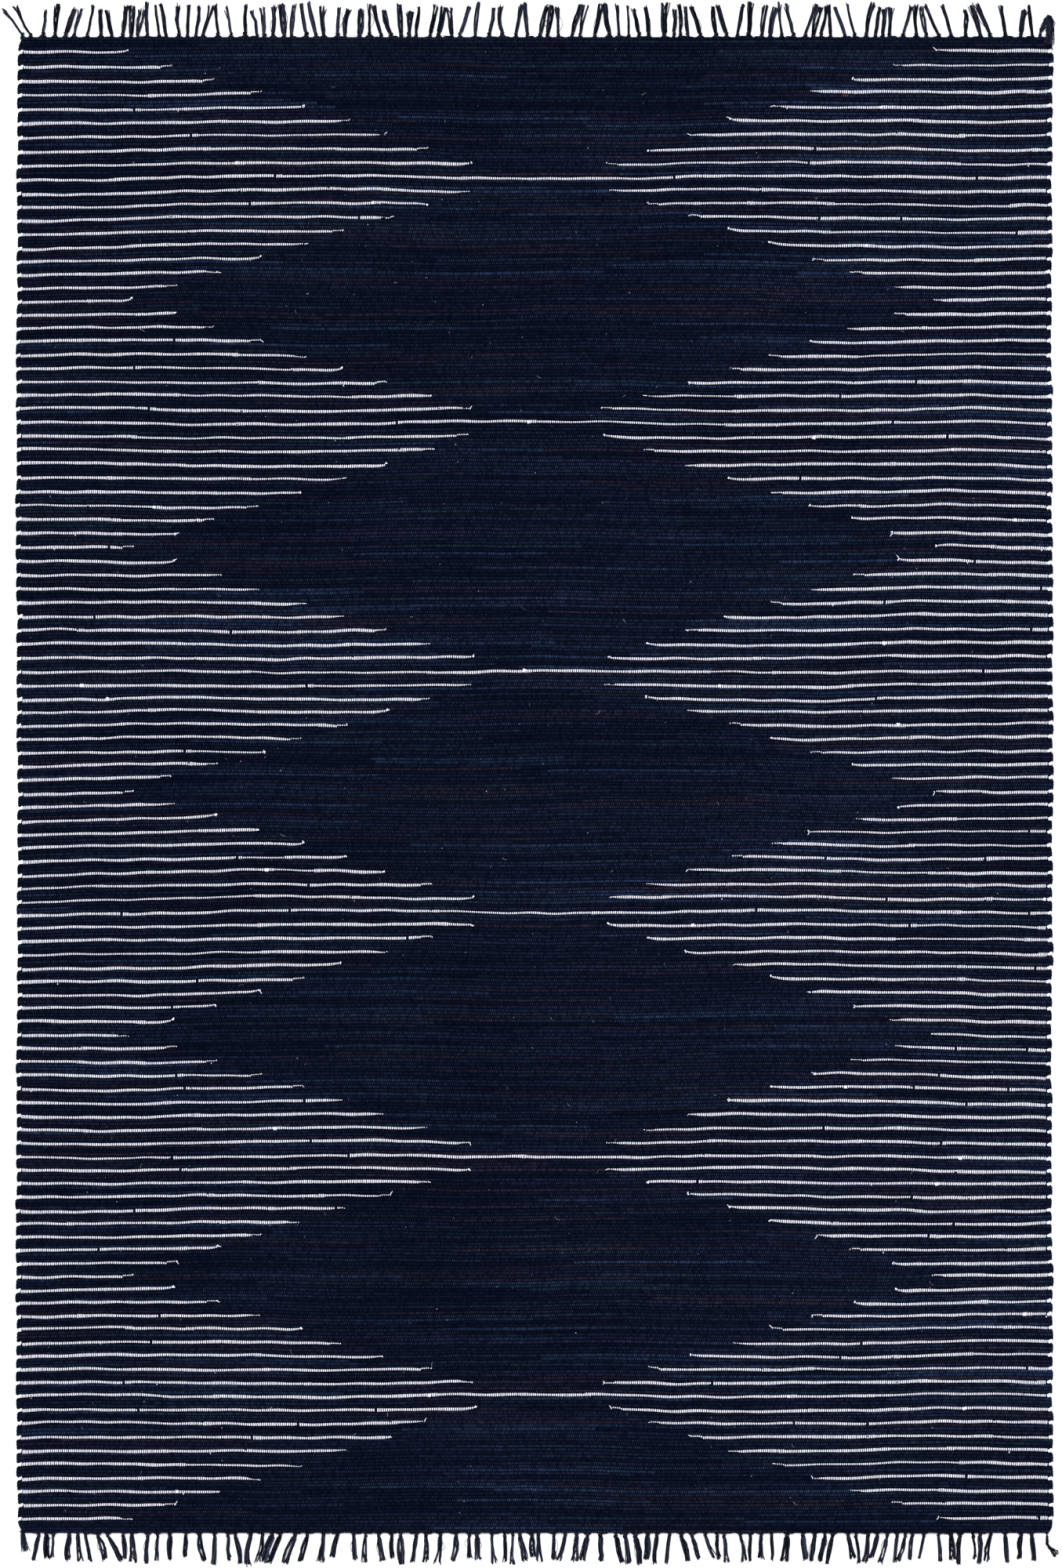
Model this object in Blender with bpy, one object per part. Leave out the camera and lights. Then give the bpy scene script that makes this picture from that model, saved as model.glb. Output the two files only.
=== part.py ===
"""A handwoven rag rug: one flat sheet of navy cloth, ribbed by its thicker off-white rows,
with a row of knotted tassels along each end. It lies on z = 0, its length along Y.
Metres, +Z up. The origin is under the middle of the whole rug."""

import math
import random

import bmesh
import bpy
from mathutils import Vector

# Cloth
WIDTH = 1.600  # selvedge to selvedge
LENGTH = 2.313  # woven cloth alone, along Y
THICKNESS = 0.0054  # of the navy ground
EDGE_THICKNESS = 0.0034  # right at the selvedge, where the weft turns back
EDGE_ROLL = 0.006  # width of the rounded selvedge
SELVEDGE_SWING = 0.0016  # how far the selvedges wander
SELVEDGE_WAVES = ((0.67, 5.3), (0.33, 23.0))  # share of the swing, radians per metre
SELVEDGE_JITTER = 0.0006
SELVEDGE_SEED = 12
CORNER_DRAW = 0.0045  # the first rows are pulled in at the corners
CORNER_REACH = 0.030

# Off-white rows
STRIPES = 109
STRIPE_PERIOD = 18  # rows from one full-width stripe to the next
FIRST_FULL = 9  # the first full-width stripe
RIB_WIDTH = 0.006
RIB_RISE = 0.0008
NOTCH = 0.0016  # each pale turn sits this far inside the navy blocks
END_TAPER = 0.008  # a stripe's end sinks into the ground over this length
SHORTEST_LEFT, STEP_LEFT = 0.177, 0.0655  # reach from the left selvedge
SHORTEST_RIGHT, STEP_RIGHT = 0.181, 0.0632
END_JITTER = 0.0035
PITCH_JITTER = 0.0006
STRIPE_SEED = 11
# Distance of a few stripes from the cloth's top end. The beat-up varies along the loom.
MEASURED_STRIPES = {
    0: 0.0224, 9: 0.2164, 27: 0.5970, 45: 0.9812, 63: 1.3521, 81: 1.7303, 99: 2.1012, 108: 2.2903,
}
INNER_COLUMN = 0.133  # from the middle, where a line has no stripe end of its own
ROW_SWING = 0.0022  # rows swing this far up and down across the cloth
ROW_WAVES = ((0.77, 9.0, 2.3, 4.1), (0.23, 23.0, 1.4, 9.0))  # share, across, bend, along
ROW_DROOP = 0.0012  # and hang this much lower right at the selvedges
ROW_FADE = 0.05  # both die away over this length at each end

# Fringe
# Lengths are from the strip that the strands grow out of
TOP_TASSELS, TOP_LENGTH, TOP_SPREAD, TOP_SEED = 94, 0.0450, 0.0036, 21
BOTTOM_TASSELS, BOTTOM_LENGTH, BOTTOM_SPREAD, BOTTOM_SEED = 88, 0.0395, 0.0036, 22
MOST_SPREADS = 1.6  # no strand is longer than this many spreads over the usual length
CLEAR = 0.0003  # between the cloth and each strip
STRIP_DEPTH = 0.0030
STRIP_HEIGHT = 0.0036
ROOT_WIDTH = 0.0048
KNOT_WIDTH, KNOT_HEIGHT, KNOT_AT = 0.0066, 0.0058, 0.0018
NECK_WIDTH, NECK_HEIGHT, NECK_AT = 0.0048, 0.0042, 0.0064
TOP_TIP, BOTTOM_TIP, TIP_HEIGHT = 0.0068, 0.0080, 0.0028  # the bottom strands open wider
SIDE_ROOM = 0.0080  # from each side of the cloth to the nearest root
CLOSEST_ROOTS = 0.0098
STRAND_GAP = 0.0009  # least room between neighbouring tips
LEAST_THICK, MOST_THICK = 0.78, 1.22  # strands hold more or fewer warp yarns
LEAN_DRIFT, LEAN_SPREAD, MOST_LEAN = 8.0, 6.0, 26.0  # degrees
LEAN_KEPT = 0.6  # share of the drift that the next strand takes over
CORNER_LEANS = (-38.0, -30.0)  # the two strands at the top left corner splay outwards
CORNER_BUNCH = 1.5  # the strand at the top right corner is a thick one
CORNER_SPLAY = 24.0  # the strand at the bottom right corner leans out past the cloth

# Finish
NAVY = (0.0070, 0.0110, 0.0260, 1.0)
YARN = (0.0120, 0.0150, 0.0300, 1.0)
CLOTH_ROUGHNESS, YARN_ROUGHNESS = 0.92, 0.88


def clear_scene():
    for obj in list(bpy.data.objects):
        bpy.data.objects.remove(obj, do_unlink=True)


def material(name, colour, roughness):
    """A dull woven or spun cotton."""
    made = bpy.data.materials.new(name)
    made.use_nodes = True
    shader = made.node_tree.nodes["Principled BSDF"]
    shader.inputs["Base Color"].default_value = colour
    shader.inputs["Roughness"].default_value = roughness
    shader.inputs["Metallic"].default_value = 0.0
    made.diffuse_color = colour
    return made


def make_object(name, bm, mat):
    mesh = bpy.data.meshes.new(name)
    bm.to_mesh(mesh)
    bm.free()
    mesh.materials.append(mat)
    obj = bpy.data.objects.new(name, mesh)
    bpy.context.scene.collection.objects.link(obj)
    return obj


def of_kind(kind, geometry):
    """The vertices, edges or faces of what a bmesh operator gave back."""
    return [part for part in geometry if isinstance(part, kind)]


# Cloth


def distance_down(index):
    """How far stripe index lies from the top end, between the measured stripes."""
    known = sorted(MEASURED_STRIPES)
    for low, high in zip(known, known[1:]):
        if low <= index <= high:
            share = (index - low) / (high - low)
            return MEASURED_STRIPES[low] * (1 - share) + MEASURED_STRIPES[high] * share
    raise ValueError(index)


def stripes():
    """Each off-white row's height on the cloth and where its two parts end, from the top down."""
    draw = random.Random(STRIPE_SEED)
    rows = []
    for index in range(STRIPES):
        phase = (index - FIRST_FULL) % STRIPE_PERIOD
        steps = min(phase, STRIPE_PERIOD - phase)  # from the nearest full-width stripe
        y = LENGTH / 2 - distance_down(index) + draw.uniform(-PITCH_JITTER, PITCH_JITTER)
        longer = STRIPE_PERIOD // 2 - steps
        left = -WIDTH / 2 + SHORTEST_LEFT + STEP_LEFT * longer + draw.gauss(0, END_JITTER)
        right = WIDTH / 2 - SHORTEST_RIGHT - STEP_RIGHT * longer - draw.gauss(0, END_JITTER)
        rows.append({"y": y, "left": left, "right": right, "full": steps == 0})
    return rows


def row_wander(x, y):
    """How far a row at this place lies from straight. It dies away at the two ends."""
    fade = min(1.0, (LENGTH / 2 - abs(y)) / ROW_FADE)
    swing = sum(
        share * math.sin(across * x + bend * math.sin(along * y))
        for share, across, bend, along in ROW_WAVES
    )
    return fade * (ROW_SWING * swing - ROW_DROOP * (2 * x / WIDTH) ** 4)


def selvedge(side, y, draw):
    """The selvedge's x at height y, on side -1 or 1."""
    wave = sum(share * math.sin(rate * y + side) for share, rate in SELVEDGE_WAVES)
    to_end = LENGTH / 2 - abs(y)
    drawn_in = CORNER_DRAW * max(0.0, 1 - to_end / CORNER_REACH) ** 2
    jitter = draw.uniform(-SELVEDGE_JITTER, SELVEDGE_JITTER)
    return side * (WIDTH / 2 + SELVEDGE_SWING * wave - drawn_in) + jitter


def cloth_lines():
    """The lines across the cloth that its top face is built on, from the bottom end up.
    Each has its y, where its stripe ends, and how far it rises beside and between those ends."""
    draw = random.Random(SELVEDGE_SEED)
    plain = {"left": -INNER_COLUMN, "right": INNER_COLUMN, "rise": 0.0, "middle": 0.0, "notch": 0.0}
    lines = [dict(plain, y=-LENGTH / 2)]
    for row in reversed(stripes()):
        for offset, share in ((-0.5, 0.0), (0.0, 1.0), (0.5, 0.0)):
            line = dict(plain, y=row["y"] + offset * RIB_WIDTH, rise=share * RIB_RISE, notch=share * NOTCH)
            if row["full"]:
                line["middle"] = line["rise"]
            else:
                line.update(left=row["left"], right=row["right"])
            lines.append(line)
    lines.append(dict(plain, y=LENGTH / 2))
    for line in lines:
        line["low_x"] = selvedge(-1, line["y"], draw) + line["notch"]
        line["high_x"] = selvedge(1, line["y"], draw) - line["notch"]
    return lines


def line_points(line):
    """The nine points of one line, from selvedge to selvedge, as (x, z)."""
    low, high = line["low_x"], line["high_x"]
    raised, middle = THICKNESS + line["rise"], THICKNESS + line["middle"]
    return [
        (low, EDGE_THICKNESS),
        (low + EDGE_ROLL, raised),
        (line["left"], raised),
        (line["left"] + END_TAPER, middle),
        ((line["left"] + line["right"]) / 2, middle),
        (line["right"] - END_TAPER, middle),
        (line["right"], raised),
        (high - EDGE_ROLL, raised),
        (high, EDGE_THICKNESS),
    ]


def make_cloth(mat):
    """One grid for the ribbed top face, its rim drawn down to the floor and closed by a flat face."""
    lines = cloth_lines()
    columns = len(line_points(lines[0]))
    bm = bmesh.new()
    bmesh.ops.create_grid(bm, x_segments=columns - 1, y_segments=len(lines) - 1, size=1.0)
    # A grid's points run line by line, from -Y to +Y
    for index, vert in enumerate(bm.verts):
        line = lines[index // columns]
        x, z = line_points(line)[index % columns]
        vert.co = (x, line["y"] + row_wander(x, line["y"]), z)
    rim = [edge for edge in bm.edges if edge.is_boundary]
    skirt = bmesh.ops.extrude_edge_only(bm, edges=rim)["geom"]
    for vert in of_kind(bmesh.types.BMVert, skirt):
        vert.co.z = 0.0
    hem = [edge for edge in of_kind(bmesh.types.BMEdge, skirt) if edge.is_boundary]
    bmesh.ops.holes_fill(bm, edges=hem, sides=0)
    bmesh.ops.recalc_face_normals(bm, faces=bm.faces)
    return make_object("rug_cloth", bm, mat)


# Fringe


def tassels(count, length, spread, seed, flare, first_leans=(), last=()):
    """Roots, tips, lengths, thicknesses and tip widths of one end's strands, from left to right.
    A strand never crosses its neighbour: its tip stays clear of the one before it.
    last gives the lean and the thickness of the last strand."""
    draw = random.Random(seed)
    gaps = [draw.random() for _ in range(count - 1)]
    room = WIDTH - 2 * SIDE_ROOM - CLOSEST_ROOTS * (count - 1)
    made = []
    root, drift = -WIDTH / 2 + SIDE_ROOM, 0.0
    for index in range(count):
        reach = min(draw.gauss(length, spread), length + MOST_SPREADS * spread)
        thick = draw.uniform(LEAST_THICK, MOST_THICK)
        drift = LEAN_KEPT * drift + draw.gauss(0, LEAN_DRIFT)
        lean = max(-MOST_LEAN, min(MOST_LEAN, drift + draw.gauss(0, LEAN_SPREAD)))
        if index < len(first_leans):
            lean = first_leans[index]
        if index == count - 1:
            lean, thick = last
        tip = root + math.tan(math.radians(lean)) * reach
        if made:
            before = made[-1]
            tip = max(tip, before["tip"] + flare * (before["thick"] + thick) / 2 + STRAND_GAP)
        made.append({"root": root, "tip": tip, "reach": reach, "thick": thick, "flare": flare * thick})
        if index < count - 1:
            root += CLOSEST_ROOTS + room * gaps[index] / sum(gaps)
    return made


def place_ring(face, centre, along, width, height):
    """Sets the four corners of a strand's newest face: level with the floor, across the strand."""
    across = Vector((-along[1], along[0], 0.0))
    middle = face.calc_center_median()
    for vert in face.verts:
        side = math.copysign(width / 2, (vert.co - middle).dot(across))
        level = height if vert.co.z > middle.z else 0.0
        vert.co = (centre[0] + side * across.x, centre[1] + side * across.y, level)


def grow_strand(bm, face, strand, outward, base_y):
    """Draws one strand out of its root: knot, neck, then a tip that flares as the yarns open."""
    start = (strand["root"], base_y)
    end = (strand["tip"], base_y + outward * strand["reach"])
    run = math.dist(start, end)
    along = ((end[0] - start[0]) / run, (end[1] - start[1]) / run)
    knot = (start[0], base_y + outward * KNOT_AT)
    neck = (start[0] + along[0] * NECK_AT, start[1] + along[1] * NECK_AT)
    thick = strand["thick"]
    rings = (
        (knot, (0.0, outward), KNOT_WIDTH * math.sqrt(thick), KNOT_HEIGHT),
        (neck, along, NECK_WIDTH * thick, NECK_HEIGHT),
        (end, along, strand["flare"], TIP_HEIGHT),
    )
    for centre, direction, width, height in rings:
        grown = bmesh.ops.extrude_face_region(bm, geom=[face])["geom"]
        bm.faces.remove(face)
        face = of_kind(bmesh.types.BMFace, grown)[0]
        place_ring(face, centre, direction, width, height)


def make_fringe(name, strands, outward, mat):
    """A narrow strip along one end of the cloth, with a strand grown from each root on its outer side."""
    inner = outward * (LENGTH / 2 + CLEAR)
    outer = inner + outward * STRIP_DEPTH
    half = WIDTH / 2 - CORNER_DRAW  # as wide as the cloth is at its drawn-in end
    stops = [-half]
    for strand in strands:
        stops += [strand["root"] - ROOT_WIDTH / 2, strand["root"] + ROOT_WIDTH / 2]
    stops.append(half)
    bm = bmesh.new()
    bmesh.ops.create_grid(bm, x_segments=len(stops) - 1, y_segments=1, size=1.0)
    for index, vert in enumerate(bm.verts):
        vert.co = (stops[index % len(stops)], outer, STRIP_HEIGHT * (index // len(stops)))
    front = sorted(bm.faces, key=lambda face: face.calc_center_median().x)
    back = bmesh.ops.extrude_face_region(bm, geom=front, use_keep_orig=True)["geom"]
    for vert in of_kind(bmesh.types.BMVert, back):
        vert.co.y = inner
    # Only the outer side carries strands, so the other sides lose their cuts
    outside = set(front)
    plain = [edge for edge in bm.edges if not outside.intersection(edge.link_faces)]
    bmesh.ops.dissolve_limit(bm, angle_limit=math.radians(1), verts=[], edges=plain)
    between = [vert for vert in bm.verts if len(vert.link_edges) == 2]
    bmesh.ops.dissolve_verts(bm, verts=between)
    for strand, face in zip(strands, front[1::2]):
        grow_strand(bm, face, strand, outward, outer)
    bmesh.ops.recalc_face_normals(bm, faces=bm.faces)
    return make_object(name, bm, mat)


def centre_on_floor(objects):
    """Moves the mesh points so that the origin is under the middle of the whole rug."""
    points = [vert.co for obj in objects for vert in obj.data.vertices]
    shift_x = (min(p.x for p in points) + max(p.x for p in points)) / 2
    shift_y = (min(p.y for p in points) + max(p.y for p in points)) / 2
    for point in points:
        point.x -= shift_x
        point.y -= shift_y


def main():
    clear_scene()
    cloth = make_cloth(material("navy_rag_cloth", NAVY, CLOTH_ROUGHNESS))
    top = make_fringe(
        "fringe_top",
        tassels(
            TOP_TASSELS, TOP_LENGTH, TOP_SPREAD, TOP_SEED, TOP_TIP, CORNER_LEANS, (0.0, CORNER_BUNCH)
        ),
        1,
        material("warp_yarn_top", YARN, YARN_ROUGHNESS),
    )
    bottom = make_fringe(
        "fringe_bottom",
        tassels(
            BOTTOM_TASSELS, BOTTOM_LENGTH, BOTTOM_SPREAD, BOTTOM_SEED, BOTTOM_TIP, (), (CORNER_SPLAY, 1.0)
        ),
        -1,
        material("warp_yarn_bottom", YARN, YARN_ROUGHNESS),
    )
    centre_on_floor([cloth, top, bottom])


main()
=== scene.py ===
# %% [markdown]
# # A handwoven rag rug
# A rag rug is a plain weave. Strong cotton threads, the warp, run the long way and are knotted at
# both ends. Strips of cut cloth, the rags, lie across them as the weft, one row after the other.
# This rug is navy all over, and every fourth row is an off-white rag that comes in from a selvedge
# and stops part of the way.
#
# The solid model gives the rug's size and place. This lesson loads it as a fixed frame and builds
# what the eye meets in the same place: the ribbed cloth, the bars of off-white rag that show
# between the warp threads, the turns at the selvedges and the knotted warp ends. A flat sheet with
# a picture of a weave on it would be quicker, but it would look printed from the side.

# %% Load the frame
import math
import random

import bmesh
import bpy
import numpy as np
from mathutils import Matrix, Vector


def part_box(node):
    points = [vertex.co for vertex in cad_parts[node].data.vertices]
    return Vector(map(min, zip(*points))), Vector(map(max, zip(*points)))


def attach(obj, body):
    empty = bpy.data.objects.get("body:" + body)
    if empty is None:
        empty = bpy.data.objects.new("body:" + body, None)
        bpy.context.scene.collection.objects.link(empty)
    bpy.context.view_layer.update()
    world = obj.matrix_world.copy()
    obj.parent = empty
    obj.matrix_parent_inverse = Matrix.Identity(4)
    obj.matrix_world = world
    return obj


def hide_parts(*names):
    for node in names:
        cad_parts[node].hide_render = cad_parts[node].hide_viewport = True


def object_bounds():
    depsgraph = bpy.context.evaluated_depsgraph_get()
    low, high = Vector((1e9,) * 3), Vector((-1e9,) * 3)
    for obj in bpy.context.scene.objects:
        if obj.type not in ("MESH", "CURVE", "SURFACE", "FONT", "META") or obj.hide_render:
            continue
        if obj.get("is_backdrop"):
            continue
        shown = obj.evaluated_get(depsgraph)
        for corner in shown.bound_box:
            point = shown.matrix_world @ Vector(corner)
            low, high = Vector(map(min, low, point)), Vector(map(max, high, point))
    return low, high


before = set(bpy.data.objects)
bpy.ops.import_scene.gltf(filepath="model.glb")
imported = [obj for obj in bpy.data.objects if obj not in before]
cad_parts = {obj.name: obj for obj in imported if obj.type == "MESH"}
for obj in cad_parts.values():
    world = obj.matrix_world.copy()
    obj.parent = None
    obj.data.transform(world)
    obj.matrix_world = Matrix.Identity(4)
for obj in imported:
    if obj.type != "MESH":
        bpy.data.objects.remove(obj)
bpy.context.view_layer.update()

# %% [markdown]
# ## The rug's sizes
# The rows, the selvedges and the tassels follow the same rules as the solid model, with the same
# named sizes and the same seeds, so each visible piece lies where its solid does. Sizes are in
# metres. The cloth's own middle is not quite the middle of the whole rug, because the tassels at
# one end are longer, so everything is built round the cloth's middle and moved at the end.

# %% Sizes of the cloth and its rows
WIDTH, LENGTH = 1.600, 2.313  # the cloth, without its fringe
THICKNESS = 0.0054
# The corners are drawn in, the left ones rounder than the right ones: how much over CORNER_REACH,
# how much more over a shorter reach, and that reach
CORNER_DRAWS = {-1: (0.0045, 0.0046, 0.018), 1: (0.0010, 0.0042, 0.009)}
CORNER_REACH = 0.030
SELVEDGE_SWING, SELVEDGE_JITTER, SELVEDGE_SEED = 0.0016, 0.0006, 12
SELVEDGE_WAVES = ((0.67, 5.3), (0.33, 23.0))  # share of the swing, and radians to the metre
SELVEDGE_RIPPLES = ((0.0006, 51.0, 2), (0.0005, 87.0, -1))  # size, radians to the metre, start

STRIPES, STRIPE_PERIOD, FIRST_FULL, STRIPE_SEED = 109, 18, 9, 11
RIB_WIDTH, RIB_RISE = 0.006, 0.0008
NOTCH = 0.0016  # the pale turns sit this far inside the navy blocks
SHORTEST_LEFT, STEP_LEFT = 0.177, 0.0655  # how far the shortest rows reach in, and each step
SHORTEST_RIGHT, STEP_RIGHT = 0.181, 0.0632
END_JITTER, PITCH_JITTER = 0.0035, 0.0006
MEASURED_STRIPES = {  # how far a few pale rows lie from the top end, because the beat-up varies
    0: 0.0224, 9: 0.2164, 27: 0.5970, 45: 0.9812, 63: 1.3521, 81: 1.7303, 99: 2.1012, 108: 2.2903,
}
ROW_SWING, ROW_DROOP, ROW_FADE = 0.0022, 0.0012, 0.05
ROW_WAVES = ((0.77, 9.0, 2.3, 4.1), (0.23, 23.0, 1.4, 9.0))  # share, across, bend, along
SMALL_SWING, SMALL_WAVES = 0.00014, 6  # finer waves than the solid has
# Beside the selvedges the rows swing and hang a little more than the solid's ribs
SIDE_SWAYS = ((-1, 0.0030, 5.5, 12.3), (1, 0.0024, 6.4, 13.1))  # side, size, long and short waves
SWAY_REACH, LONG_SHARE, SHORT_SHARE = 0.12, 0.75, 0.35
SIDE_HANGS = ((-1, 0.0019, 0.13), (1, -0.0011, 0.13), (1, 0.0015, 0.024))  # side, size, reach
# At the top right corner the rows rise: how much, how far in, at what height, and how far along
CORNER_RISE, RISE_IN, RISE_AT, RISE_ALONG = 0.0050, 0.05, 1.06, 0.06
END_ROWS, NAVY_ROWS = 4, 3  # navy rows at each end, and between two pale rows
BAR_PITCH = 0.00325  # a rag shows once for every two warp threads, 16 threads to the inch
CROWDING = {-1: (0.38, 0.030), 1: (0.22, 0.016)}  # how much closer at a selvedge, and how far in

cloth_low, cloth_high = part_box("rug_cloth")
strip_side = cloth_high.y + 0.0006  # only the strip of the fringe starts this near the cloth
strip = [v.co.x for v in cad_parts["fringe_top"].data.vertices if v.co.y < strip_side]
MIDDLE = ((min(strip) + max(strip)) / 2, (cloth_low.y + cloth_high.y) / 2)
print("middle of the cloth:", [round(1000 * c, 2) for c in MIDDLE], "mm")


# %% Where the pale rows lie and end
def distance_down(index):
    """How far pale row index lies from the top end."""
    known = sorted(MEASURED_STRIPES)
    return float(np.interp(index, known, [MEASURED_STRIPES[k] for k in known]))


def pale_rows():
    """Each pale row's height and where its two parts end, from the top down."""
    draw = random.Random(STRIPE_SEED)
    rows = []
    for index in range(STRIPES):
        phase = (index - FIRST_FULL) % STRIPE_PERIOD
        steps = min(phase, STRIPE_PERIOD - phase)
        y = LENGTH / 2 - distance_down(index) + draw.uniform(-PITCH_JITTER, PITCH_JITTER)
        longer = STRIPE_PERIOD // 2 - steps
        left = -WIDTH / 2 + SHORTEST_LEFT + STEP_LEFT * longer + draw.gauss(0, END_JITTER)
        right = WIDTH / 2 - SHORTEST_RIGHT - STEP_RIGHT * longer - draw.gauss(0, END_JITTER)
        rows.append({"y": y, "left": left, "right": right, "full": steps == 0})
    return rows


PALE = pale_rows()
print("pale rows:", len(PALE), "of them", sum(row["full"] for row in PALE), "full ones")


# %% Borders between all rows, and the selvedges
def row_borders():
    """Heights of the borders between rows, from the top end down."""
    borders = [LENGTH / 2]
    for index, row in enumerate(PALE):
        count = NAVY_ROWS if index else END_ROWS
        borders += list(np.linspace(borders[-1], row["y"] + RIB_WIDTH / 2, count + 1)[1:])
        borders.append(row["y"] - RIB_WIDTH / 2)
    return np.array(borders + list(np.linspace(borders[-1], -LENGTH / 2, END_ROWS + 1)[1:]))


wind = np.random.default_rng(30)  # the small waves' rates are in radians to the metre
ACROSS_RATE, ALONG_RATE = wind.uniform(28, 95, SMALL_WAVES), wind.uniform(-45, 45, SMALL_WAVES)
WAVE_START = wind.uniform(0, 2 * math.pi, SMALL_WAVES)


def row_wander(x, y):
    """How far a row at this place lies from straight."""
    fade = np.clip((LENGTH / 2 - np.abs(y)) / ROW_FADE, 0.0, 1.0)
    swing = sum(
        share * np.sin(across * x + bend * np.sin(along * y))
        for share, across, bend, along in ROW_WAVES
    )
    small = sum(
        np.sin(across * x + along * y + start)
        for across, along, start in zip(ACROSS_RATE, ALONG_RATE, WAVE_START)
    )
    droop = ROW_DROOP * (2 * x / WIDTH) ** 4
    droop += sum(hang * np.exp(-(WIDTH / 2 - side * x) / reach) for side, hang, reach in SIDE_HANGS)
    sway = sum(
        size * np.exp(-(WIDTH / 2 - side * x) / SWAY_REACH)
        * (LONG_SHARE * np.sin(long * y + side) + SHORT_SHARE * np.sin(short * y - side))
        for side, size, long, short in SIDE_SWAYS
    )
    rise = CORNER_RISE * np.exp(-(WIDTH / 2 - x) / RISE_IN - ((y - RISE_AT) / RISE_ALONG) ** 2)
    return fade * (ROW_SWING * swing - droop + sway + rise) + SMALL_SWING * np.sqrt(fade) * small


def selvedge(side, y, draw):
    """The selvedge's x at height y, on side -1 or 1."""
    wave = sum(share * math.sin(rate * y + side) for share, rate in SELVEDGE_WAVES)
    ripple = sum(size * math.sin(rate * y + start * side) for size, rate, start in SELVEDGE_RIPPLES)
    jitter = draw.uniform(-SELVEDGE_JITTER, SELVEDGE_JITTER)
    return side * (WIDTH / 2 + SELVEDGE_SWING * wave + ripple) + jitter


def corner_draw(side, y):
    """How far a selvedge is drawn in at this height."""
    to_end = LENGTH / 2 - np.abs(y)
    wide, tight, tight_reach = CORNER_DRAWS[side]
    return (wide * np.clip(1 - to_end / CORNER_REACH, 0.0, 1.0) ** 3
            + tight * np.clip(1 - to_end / tight_reach, 0.0, 1.0) ** 1.5)


def selvedge_lines():
    """Both selvedges' x at three heights a pale row, from the bottom end up."""
    draw = random.Random(SELVEDGE_SEED)
    heights = [-LENGTH / 2]
    for row in reversed(PALE):
        heights += [row["y"] + offset * RIB_WIDTH for offset in (-0.5, 0.0, 0.5)]
    heights.append(LENGTH / 2)
    sides = [(selvedge(-1, y, draw), selvedge(1, y, draw)) for y in heights]
    return np.array(heights), np.array(sides)


def bar_pitch(x):
    """How far apart the bars of rag are. The weft pulls the outer warp threads together."""
    closer = sum(
        share * np.exp(-(WIDTH / 2 - side * x) / reach) for side, (share, reach) in CROWDING.items()
    )
    return BAR_PITCH * (1 - closer)


STATIONS = np.linspace(-0.51 * WIDTH, 0.51 * WIDTH, 3265)  # every half millimetre
BAR_NUMBERS = np.cumsum((STATIONS[1] - STATIONS[0]) / bar_pitch(STATIONS))
BAR_NUMBERS -= np.interp(0.0, STATIONS, BAR_NUMBERS)
BORDERS = row_borders()
ROWS = len(BORDERS) - 1
EDGE_Y, EDGE_X = selvedge_lines()
print("rows:", ROWS, "of", round(1000 * LENGTH / ROWS, 2), "mm on average, bars in a row:",
      round(float(np.ptp(np.interp([-WIDTH / 2, WIDTH / 2], STATIONS, BAR_NUMBERS)))))

# %% [markdown]
# ## Helpers for colours, nodes and pieces
# Colours are written as sRGB hex, as a paint chart gives them, and turned linear for the shader.
# One helper adds a shader node with its settings and links. Another closes each piece in the same
# way: it moves the mesh points to the cloth's place, so the object itself stays at the origin.


# %% Colours and shader nodes
def paint(code):
    """An sRGB hex colour as linear red, green, blue and alpha."""
    parts = [int(code[k : k + 2], 16) / 255 for k in (1, 3, 5)]
    return tuple(p / 12.92 if p <= 0.04045 else ((p + 0.055) / 1.055) ** 2.4 for p in parts) + (1.0,)


def add(tree, kind, inputs=(), out=0, **settings):
    """Adds one shader node. inputs gives each socket a value, or the output that feeds it.
    Gives back the output numbered out, or the node itself if out is None."""
    made = tree.nodes.new(kind)
    for name, value in settings.items():
        setattr(made, name, value)
    for key, value in dict(inputs).items():
        if isinstance(value, bpy.types.NodeSocket):
            tree.links.new(value, made.inputs[key])
        else:
            made.inputs[key].default_value = value
    return made if out is None else made.outputs[out]


def cotton(name, roughness):
    """An empty finish for cotton, dull and without gloss, and its shader."""
    made = bpy.data.materials.new(name)
    made.use_nodes = True
    shader = made.node_tree.nodes["Principled BSDF"]
    shader.inputs["Roughness"].default_value = roughness
    shader.inputs["IOR"].default_value = 1.53  # cellulose
    shader.inputs["Specular IOR Level"].default_value = 0.01  # light is lost between the fibres
    return made, made.node_tree, shader


MATHS, VECTORS = "ShaderNodeMath", "ShaderNodeVectorMath"
print("navy reads as", [round(c, 4) for c in paint("#101626")[:3]])


# %% Closing a piece
def set_map(mesh, name, values):
    """Writes a UV map: one pair of values for each face corner."""
    layer = mesh.uv_layers.get(name) or mesh.uv_layers.new(name=name)
    layer.uv.foreach_set("vector", np.ascontiguousarray(values, np.float32).ravel())


def close_piece(name, mesh, slot, *replaced):
    """Moves a mesh to the cloth's place, shows it, and ties it to the frame."""
    mesh.transform(Matrix.Translation((MIDDLE[0], MIDDLE[1], 0.0)))
    mesh.name = name
    mesh.polygons.foreach_set("use_smooth", [True] * len(mesh.polygons))
    obj = bpy.data.objects.new(name, mesh)
    bpy.context.scene.collection.objects.link(obj)
    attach(obj, "root")
    if replaced:
        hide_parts(*replaced)
    mesh.calc_loop_triangles()
    print(f"{name}: {len(mesh.loop_triangles)} triangles")
    return obj


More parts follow.
